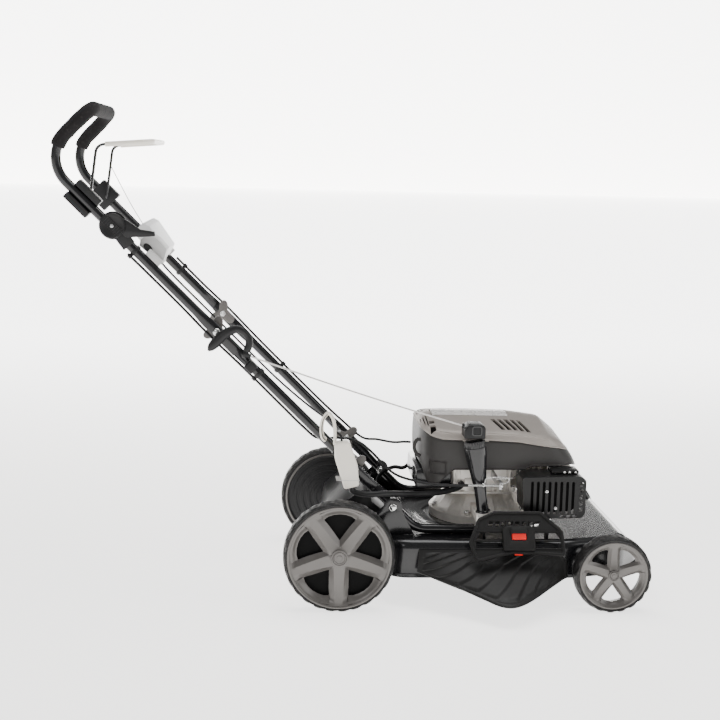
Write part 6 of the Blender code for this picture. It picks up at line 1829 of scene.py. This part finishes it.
@dataclass
class Controls:
    """Throttle, console, the bail's holders and clips on the handle."""

    handle: Handle
    centre: Spot = (-0.5115, 0.8575)
    outer: float = -0.1923

    def build(self) -> None:
        """Makes the throttle, the console, the bail's holders and the clips."""
        self._throttle()
        self._console()
        self._holders()

    def _throttle(self) -> None:
        """Round base and face with a grooved band across it and a screw in its middle."""
        x, z = self.centre
        outline = arc(self.centre, 0.031, -20.0, 280.0, 48) + [(-0.488, 0.803), (-0.464, 0.822)]
        Piece("throttle_base", prism(outline, self.outer - 0.006, self.outer), PLASTIC, "upper_handle",
              ("throttle_housing",), bevel=0.0014, segments=3).build()
        face = [(0.0, 0.0), (0.0265, 0.0), (0.028, 0.0012), (0.028, 0.0044), (0.027, 0.0056), (0.0235, 0.006),
                (0.0225, 0.0054), (0.0, 0.0054)]
        place = place_along((x, self.outer - 0.0175, z), (0.0, -1.0, 0.0))
        hub = rod((x, self.outer - 0.004, z), (x, self.outer - 0.019, z), 0.008, 32)
        Piece("throttle_face", turned(face, 72, place), PLASTIC, "upper_handle", sharp=40.0).build()
        Piece("throttle_hub", hub, PLASTIC, "upper_handle").build()
        across = np.array(self.handle.along)
        beside = np.array([-across[1], across[0]])
        marks = np.linspace(-0.026, 0.026, 157)
        height = 0.0026 + 0.0006 * np.tanh(4.0 * np.sin(2.0 * np.pi * marks / 0.0054))
        low_y = self.outer - 0.0228
        rows = []
        for side, lift in ((-0.0105, 0), (-0.009, 1), (0.009, 1), (0.0105, 0)):
            flat = np.array(self.centre) + marks[:, None] * across + side * beside
            rows.append(np.column_stack([flat[:, 0], low_y - lift * height, flat[:, 1]]))
        Piece("throttle_band", skin(np.stack(rows, axis=1)), PLASTIC, "upper_handle", sharp=40.0).build()
        Piece("throttle_screw", domed_head((x, self.outer - 0.0252, z), (0.0, -1.0, 0.0), 0.0042, 0.0018),
              BLADE_STEEL, "upper_handle").build()
        softened("throttle_lever", PLASTIC, 0.0014)

    def _console(self) -> None:
        """Lower face in a darker grey as painted shade, with an oval button, and the raised body beside it in a
        whiter grey as painted light: shaded and lit copies of one pale housing.
        """
        near = closed([(-0.455, 0.824), (-0.447, 0.831), (-0.426, 0.833), (-0.416, 0.826), (-0.396, 0.804),
                       (-0.406, 0.768), (-0.457, 0.812)], 0.0025, 3)
        far = closed([(-0.478, 0.836), (-0.456, 0.86), (-0.441, 0.852), (-0.402, 0.796), (-0.412, 0.772),
                      (-0.457, 0.81)], [0.003, 0.006, 0.006, 0.006, 0.003, 0.003], 5)
        # Painted shade and light: the near face's darker grey and the body's whiter grey stand for shade and light
        # falling on one pale housing.
        Piece("console_grey_face", prism(near, -0.165, -0.084), PALE, "upper_handle", ("console",),
              bevel=0.0018, segments=3).build()
        Piece("console_pale_body", prism(far, -0.09, 0.165), LIT_PALE, "upper_handle", bevel=0.003,
              segments=4).build()
        turn = full_turn(48)
        lean = np.array(self.handle.along)
        rise = np.array([-lean[1], lean[0]])
        oval = (np.array((-0.4376, 0.8071)) + 0.012 * np.cos(turn)[:, None] * lean
                + 0.0075 * np.sin(turn)[:, None] * rise)
        Piece("console_button", prism(oval, -0.1675, -0.1645), PLASTIC, "upper_handle", bevel=0.001,
              segments=3).build()
        for side in Side:
            corners = [self.handle.at(run, below) for run, below in
                       ((-0.235, -0.026), (-0.195, -0.026), (-0.195, -0.0113), (-0.235, -0.0113))]
            low, high = sorted((side.value * 0.145, side.value * 0.19))
            Piece(f"console_saddle_{side.word}", prism(corners, low, high), PALE, "upper_handle", bevel=0.002,
                  segments=3).build()

    def _holders(self) -> None:
        """Holders of the bail's ends round both tubes, and clips that hold the cables."""
        for side, spans in ((Side.RIGHT, (-0.45, -0.383)), (Side.LEFT, (-0.44, -0.386))):
            s, plates = side.value, []
            for low, high, inner, outer in ((-0.0265, -0.0116, 0.16, 0.193), (0.0116, 0.027, 0.16, 0.193),
                                            (-0.025, 0.0255, 0.158, 0.1696)):
                corners = closed([self.handle.at(spans[0], low), self.handle.at(spans[0], high),
                                  self.handle.at(spans[1], high), self.handle.at(spans[1], low)], 0.002, 3)
                plates.append(prism(corners, *sorted((s * inner, s * outer))))
            nodes = ("bail_housing",) if side is Side.RIGHT else ()
            Piece(f"bail_holder_{side.word}", total(plates), PLASTIC, "upper_handle", nodes,
                  bevel=0.001).build()
        along = (self.handle.along[0], 0.0, self.handle.along[1])
        ring = [(0.0112, -0.0045), (0.013, -0.0045), (0.0134, -0.0035), (0.0134, 0.0035), (0.013, 0.0045),
                (0.0112, 0.0045)]
        for name, run, side, body, y in (("upper", -0.255, Side.RIGHT, "upper_handle", -0.1877),
                                         ("middle", 0.135, Side.RIGHT, "lower_handle", -0.181),
                                         ("left_upper", -0.15, Side.LEFT, "upper_handle", 0.181),
                                         ("left_lower", 0.2, Side.LEFT, "lower_handle", 0.181)):
            spot = self.handle.spot(run, 0.0, side.value * self.handle.half)
            away = 1.0 if side is Side.RIGHT else -1.0
            low = self.handle.spot(run, away * 0.0163, y)
            clip = turned(ring, 48, place_along(spot, along), True)
            small = turned([(0.0031, -0.0045), (0.0052, -0.0045), (0.0052, 0.0045), (0.0031, 0.0045)], 32,
                           place_along(low, along), True)
            Piece(f"cable_clip_{name}", clip + small, PLASTIC, body).build()


@dataclass
class StarterPull:
    """Hooked starter grip, and the loop on the handle that holds it."""

    y: float = -0.2135
    hook: tuple[Spot, ...] = ((-0.2165, 0.579), (-0.2085, 0.6), (-0.214, 0.621), (-0.235, 0.633),
                              (-0.262, 0.622), (-0.285, 0.6), (-0.3, 0.583))
    radii: tuple[float, ...] = (0.0085, 0.0085, 0.008, 0.009, 0.011, 0.0115, 0.006)

    def build(self) -> None:
        """Makes the grip, its nose and the loop."""
        marks = [(x, self.y, z) for x, z in self.hook]
        path = through(marks, 10)
        radii = through([(r, 0.0) for r in self.radii], 10)[:, 0]
        ends = np.minimum(np.arange(len(path)), np.arange(len(path))[::-1])
        radii = radii * np.sqrt(np.clip((ends + 0.6) / 4.0, 0.0, 1.0))
        Piece("starter_hook", tube(path, radii, 36, 0.92), PLASTIC, "starter_grip", ("starter_grip",),
              sharp=60.0).build()
        nose = rod((-0.2045, self.y, 0.5712), (-0.2225, self.y, 0.5772), 0.0045, 28, 0.001, 0.0085)
        Piece("starter_nose", nose, PLASTIC, "starter_grip").build()
        softened("rope_guide", PLASTIC, 0.0015)


@dataclass
class BatteryPack:
    """Pale pack on the right tube, with a seam near its foot and a strap over the tube."""

    handle: Handle

    def build(self) -> None:
        """Makes the pack, its hook and its strap."""
        outline = closed([(-0.014, 0.379), (0.02, 0.383), (0.04, 0.328), (0.0445, 0.281), (0.011, 0.272),
                          (-0.0115, 0.3405)], [0.008, 0.008, 0.01, 0.006, 0.006, 0.01], 6)
        Piece("battery_pack_case", prism(outline, -0.2425, -0.2025), CREAM, "lower_handle", ("battery_pack",),
              bevel=0.0045, segments=4).build()
        ring = closed([(-0.008, 0.2935), (0.0446, 0.2935), (0.0446, 0.2945), (-0.008, 0.2945)], 0.0002, 2)
        Piece("battery_pack_seam", prism(ring, -0.2429, -0.2021), PALE, "lower_handle").build()
        corners = [self.handle.at(run, below) for run, below in
                   ((0.38, -0.01), (0.404, -0.01), (0.404, 0.01), (0.38, 0.01))]
        Piece("battery_pack_hook", prism(corners, -0.206, -0.1923), PLASTIC, "lower_handle",
              bevel=0.002).build()
        arch = through([(-0.012, -0.218, 0.372), (-0.0125, -0.218, 0.405), (-0.0165, -0.216, 0.43),
                        (-0.028, -0.214, 0.4435), (-0.039, -0.212, 0.43), (-0.0425, -0.208, 0.41),
                        (-0.04, -0.203, 0.388), (-0.033, -0.198, 0.3785)], 8)
        Piece("battery_pack_strap", tube(arch, 0.004, 24, 1.7), CREAM, "lower_handle", sharp=60.0).build()
        edge = arch + (0.0, -0.0052, 0.0)
        Piece("battery_strap_edge", tube(edge, 0.0013, 12), PLASTIC, "lower_handle", sharp=60.0).build()


@dataclass
class Cords:
    """Cables, leads and the starter's rope, each on its own route; the throttle and brake cables are each made in
    two pieces.
    """

    handle: Handle
    radius: float = 0.003

    def build(self) -> None:
        """Makes every cord in the order from the handle to the engine."""
        at = self.handle.spot
        below = self.handle.radius * PRESSED + self.radius + 2 * GAP
        throttle = [at(-0.262, below, -0.188), at(-0.2, below, -0.184), at(-0.1, below, -0.182),
                    at(0.0, below + 0.002, -0.181), at(0.1, below, -0.181), at(0.22, below, -0.181),
                    at(0.3, below, -0.177), at(0.34, 0.012, -0.164), at(0.375, -0.022, -0.16),
                    at(0.41, -0.046, -0.16), at(0.45, -0.052, -0.16), (0.13, -0.168, 0.293),
                    (0.19, -0.192, 0.279), (0.225, -0.202, 0.2755), (0.2537, -0.2035, 0.2745)]
        brake = [at(-0.18, -below, 0.181), at(-0.08, -below, 0.181), at(0.0, -below - 0.002, 0.181),
                 at(0.12, -below, 0.181), at(0.25, -below, 0.181), at(0.35, -below - 0.001, 0.181),
                 at(0.42, -below - 0.004, 0.181), at(0.48, -below - 0.01, 0.176), (0.115, 0.15, 0.305),
                 (0.15, 0.1, 0.309), (0.176, 0.082, 0.314), (0.1945, 0.08, 0.314)]
        lead = [(-0.4212, -0.01, 0.7774), (-0.4266, -0.01, 0.771), at(-0.16, 0.0, -0.01),
                at(-0.04, 0.0, -0.012), at(0.08, 0.0, -0.014), at(0.2, -0.002, -0.022),
                at(0.29, -0.014, -0.06), at(0.34, -0.03, -0.12), at(0.36, -0.036, -0.175),
                (-0.006, -0.212, 0.399), (0.0015, -0.222, 0.393), (0.003, -0.2225, 0.3815)]
        conduit = [(0.029, -0.2215, 0.2735), (0.0316, -0.2215, 0.264), (0.06, -0.219, 0.256),
                   (0.1, -0.21, 0.255), (0.15, -0.182, 0.248), (0.195, -0.152, 0.24),
                   (0.245, -0.133, 0.24), (0.285, -0.118, 0.246), (0.299, -0.102, 0.2495),
                   (0.3, -0.0887, 0.25)]
        upper, lower = at(-0.06, 0.0, 0.0), at(0.06, 0.0, 0.0)
        high, low = at(self.handle.run - 0.12, 0.0, 0.0), at(self.handle.run + 0.03, 0.0, 0.0)
        top = ("upper_handle", "lower_handle", upper, lower)
        foot = ("lower_handle", "chassis", high, low)
        self._cord("throttle_cable_upper", throttle[:6], self.radius, PLASTIC, top,
                   ("throttle_cable",))
        self._cord("throttle_cable_lower", throttle[5:], self.radius, PLASTIC, foot)
        self._cord("brake_cable_upper", brake[:5], self.radius, PLASTIC, top,
                   ("brake_cable",))
        self._cord("brake_cable_lower", brake[4:], self.radius, PLASTIC, foot)
        self._cord("pack_lead_wire", lead, 0.0025, PLASTIC, top, ("pack_lead",))
        self._cord("wiring_sleeve", conduit, 0.007, PLASTIC,
                   ("lower_handle", "chassis", (0.025, -0.22, 0.262), (0.13, -0.195, 0.25)),
                   ("wiring_conduit",))
        start, end = np.array((-0.204, -0.2135, 0.571)), np.array((0.2861, -0.1737, 0.4097))
        t = np.linspace(0.0, 1.0, 33)[:, None]
        rope = start + (end - start) * t - np.array((0.0, 0.0, 0.016)) * t * (1.0 - t)
        self._cord("starter_rope_line", rope, 0.0019, ROPE,
                   ("lower_handle", "chassis", tuple(start + 0.1 * (end - start)), tuple(end)),
                   ("starter_rope",), 1)
        wire = [(-0.556, 0.15, 0.9815), (-0.533, 0.1465, 0.938), (-0.506, 0.14, 0.889),
                (-0.478, 0.135, 0.844)]
        self._cord("brake_wire", wire, 0.001, STEEL,
                   ("bail", "upper_handle", wire[0], wire[-1]))
        engine = [(0.118, 0.1622, 0.156), (0.12, 0.1622, 0.195), (0.134, 0.16, 0.218),
                  (0.16, 0.148, 0.233), (0.183, 0.13, 0.236), (0.199, 0.096, 0.26)]
        self._cord("engine_lead", engine, 0.005, PLASTIC, None)

    def _cord(self, name: str, marks: list[Point] | np.ndarray, radius: float, finish: Finish,
              bend: tuple | None, nodes: tuple[str, ...] = (), pieces: int = 7) -> None:
        """One cord: a tube along the smooth curve through its marks.

        Args:
            name: the piece's name.
            marks: points that its centre line runs through.
            radius: half its thickness.
            finish: its finish.
            bend: two bodies and two points of the cord's fold; when given, the cord is left without a body and its
                transform is baked, and the bodies and points are not otherwise used.
            nodes: CAD nodes that it stands for.
            pieces: steps between two marks.
        """
        path = through(marks, pieces) if pieces > 1 else np.asarray(marks)
        body = None if bend else "chassis"
        piece = Piece(name, tube(path, radius, 20), finish, body, nodes, sharp=60.0).build()
        if bend:
            tuple(np.array(bend[2]) + ORIGIN)
            tuple(np.array(bend[3]) + ORIGIN)
            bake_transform(piece)


@dataclass
class LeftSide:
    """Fittings on the left, at the rear and inside: filter box, tank, cap, crank train and axles."""

    def build(self) -> None:
        """Makes the softened copies, the filter's ribs and the ridged fuel cap."""
        softened("air_filter_box", PLASTIC, 0.004)
        louvres = [block((0.44 + 0.012 * k, 0.186, 0.222), (0.446 + 0.012 * k, 0.1915, 0.276))
                   for k in range(8)]
        Piece("air_filter_ribs", total(louvres), PLASTIC, bevel=0.001).build()
        knob = rod((0.4825, 0.189, 0.288), (0.4825, 0.1935, 0.288), 0.006, 28, 0.001)
        Piece("air_filter_screw", knob, STEEL).build()
        softened("fuel_tank", GLOSS_PLASTIC, 0.003)
        cap = [(0.0, 0.0003), (0.024, 0.0003), (0.025, 0.0015), (0.025, 0.016), (0.0238, 0.0188),
               (0.021, 0.02), (0.0, 0.02)]
        place = Matrix.Translation((0.245, 0.176, 0.335))
        Piece("fuel_ridged_cap", ridged(cap, 160, place, 20, 0.06, 0.0012, 0.017), PLASTIC, "fuel_cap",
              ("fuel_cap",), sharp=40.0).build()
        softened("cylinder_head", ALLOY, 0.002)
        head = [block((0.548, -0.05, z), (0.58, 0.05, z + 0.003)) for z in (0.222, 0.234, 0.246, 0.258, 0.27)]
        Piece("cylinder_head_fins", total(head), ALLOY, bevel=0.0006).build()
        softened("spark_plug_boot", PLASTIC, 0.0008)
        softened("carburettor", ALLOY, 0.002)
        softened("rear_frame", PLASTIC, 0.0016)
        softened("rear_flap", PLASTIC, 0.0012)
        softened("blade", BLADE_STEEL, 0.0006)
        softened("blade_adapter", BLADE_STEEL, 0.0008)
        softened("flywheel", ALLOY, 0.001)
        for node in ("crankshaft", "front_axle", "rear_axle", "flap_rod"):
            softened(node, STEEL, 0.0006)


def main() -> None:
    """Builds the sub-assemblies in order."""
    logging.basicConfig(level=logging.INFO, format="%(message)s")
    handle = Handle()
    Studio().build()
    Cords(handle).build()
    for end in End:
        for side in Side:
            Wheel(end, side).build()
    for part in (handle, Bail(handle), Deck(), Casing(), EngineCore(), SideDischarge(), Controls(handle),
                 StarterPull(), BatteryPack(handle), LeftSide()):
        part.build()
    for node, obj in frame["nodes"].items():
        if not obj.hide_render:
            recoat(node, PLASTIC)


if __name__ == "__main__":
    main()
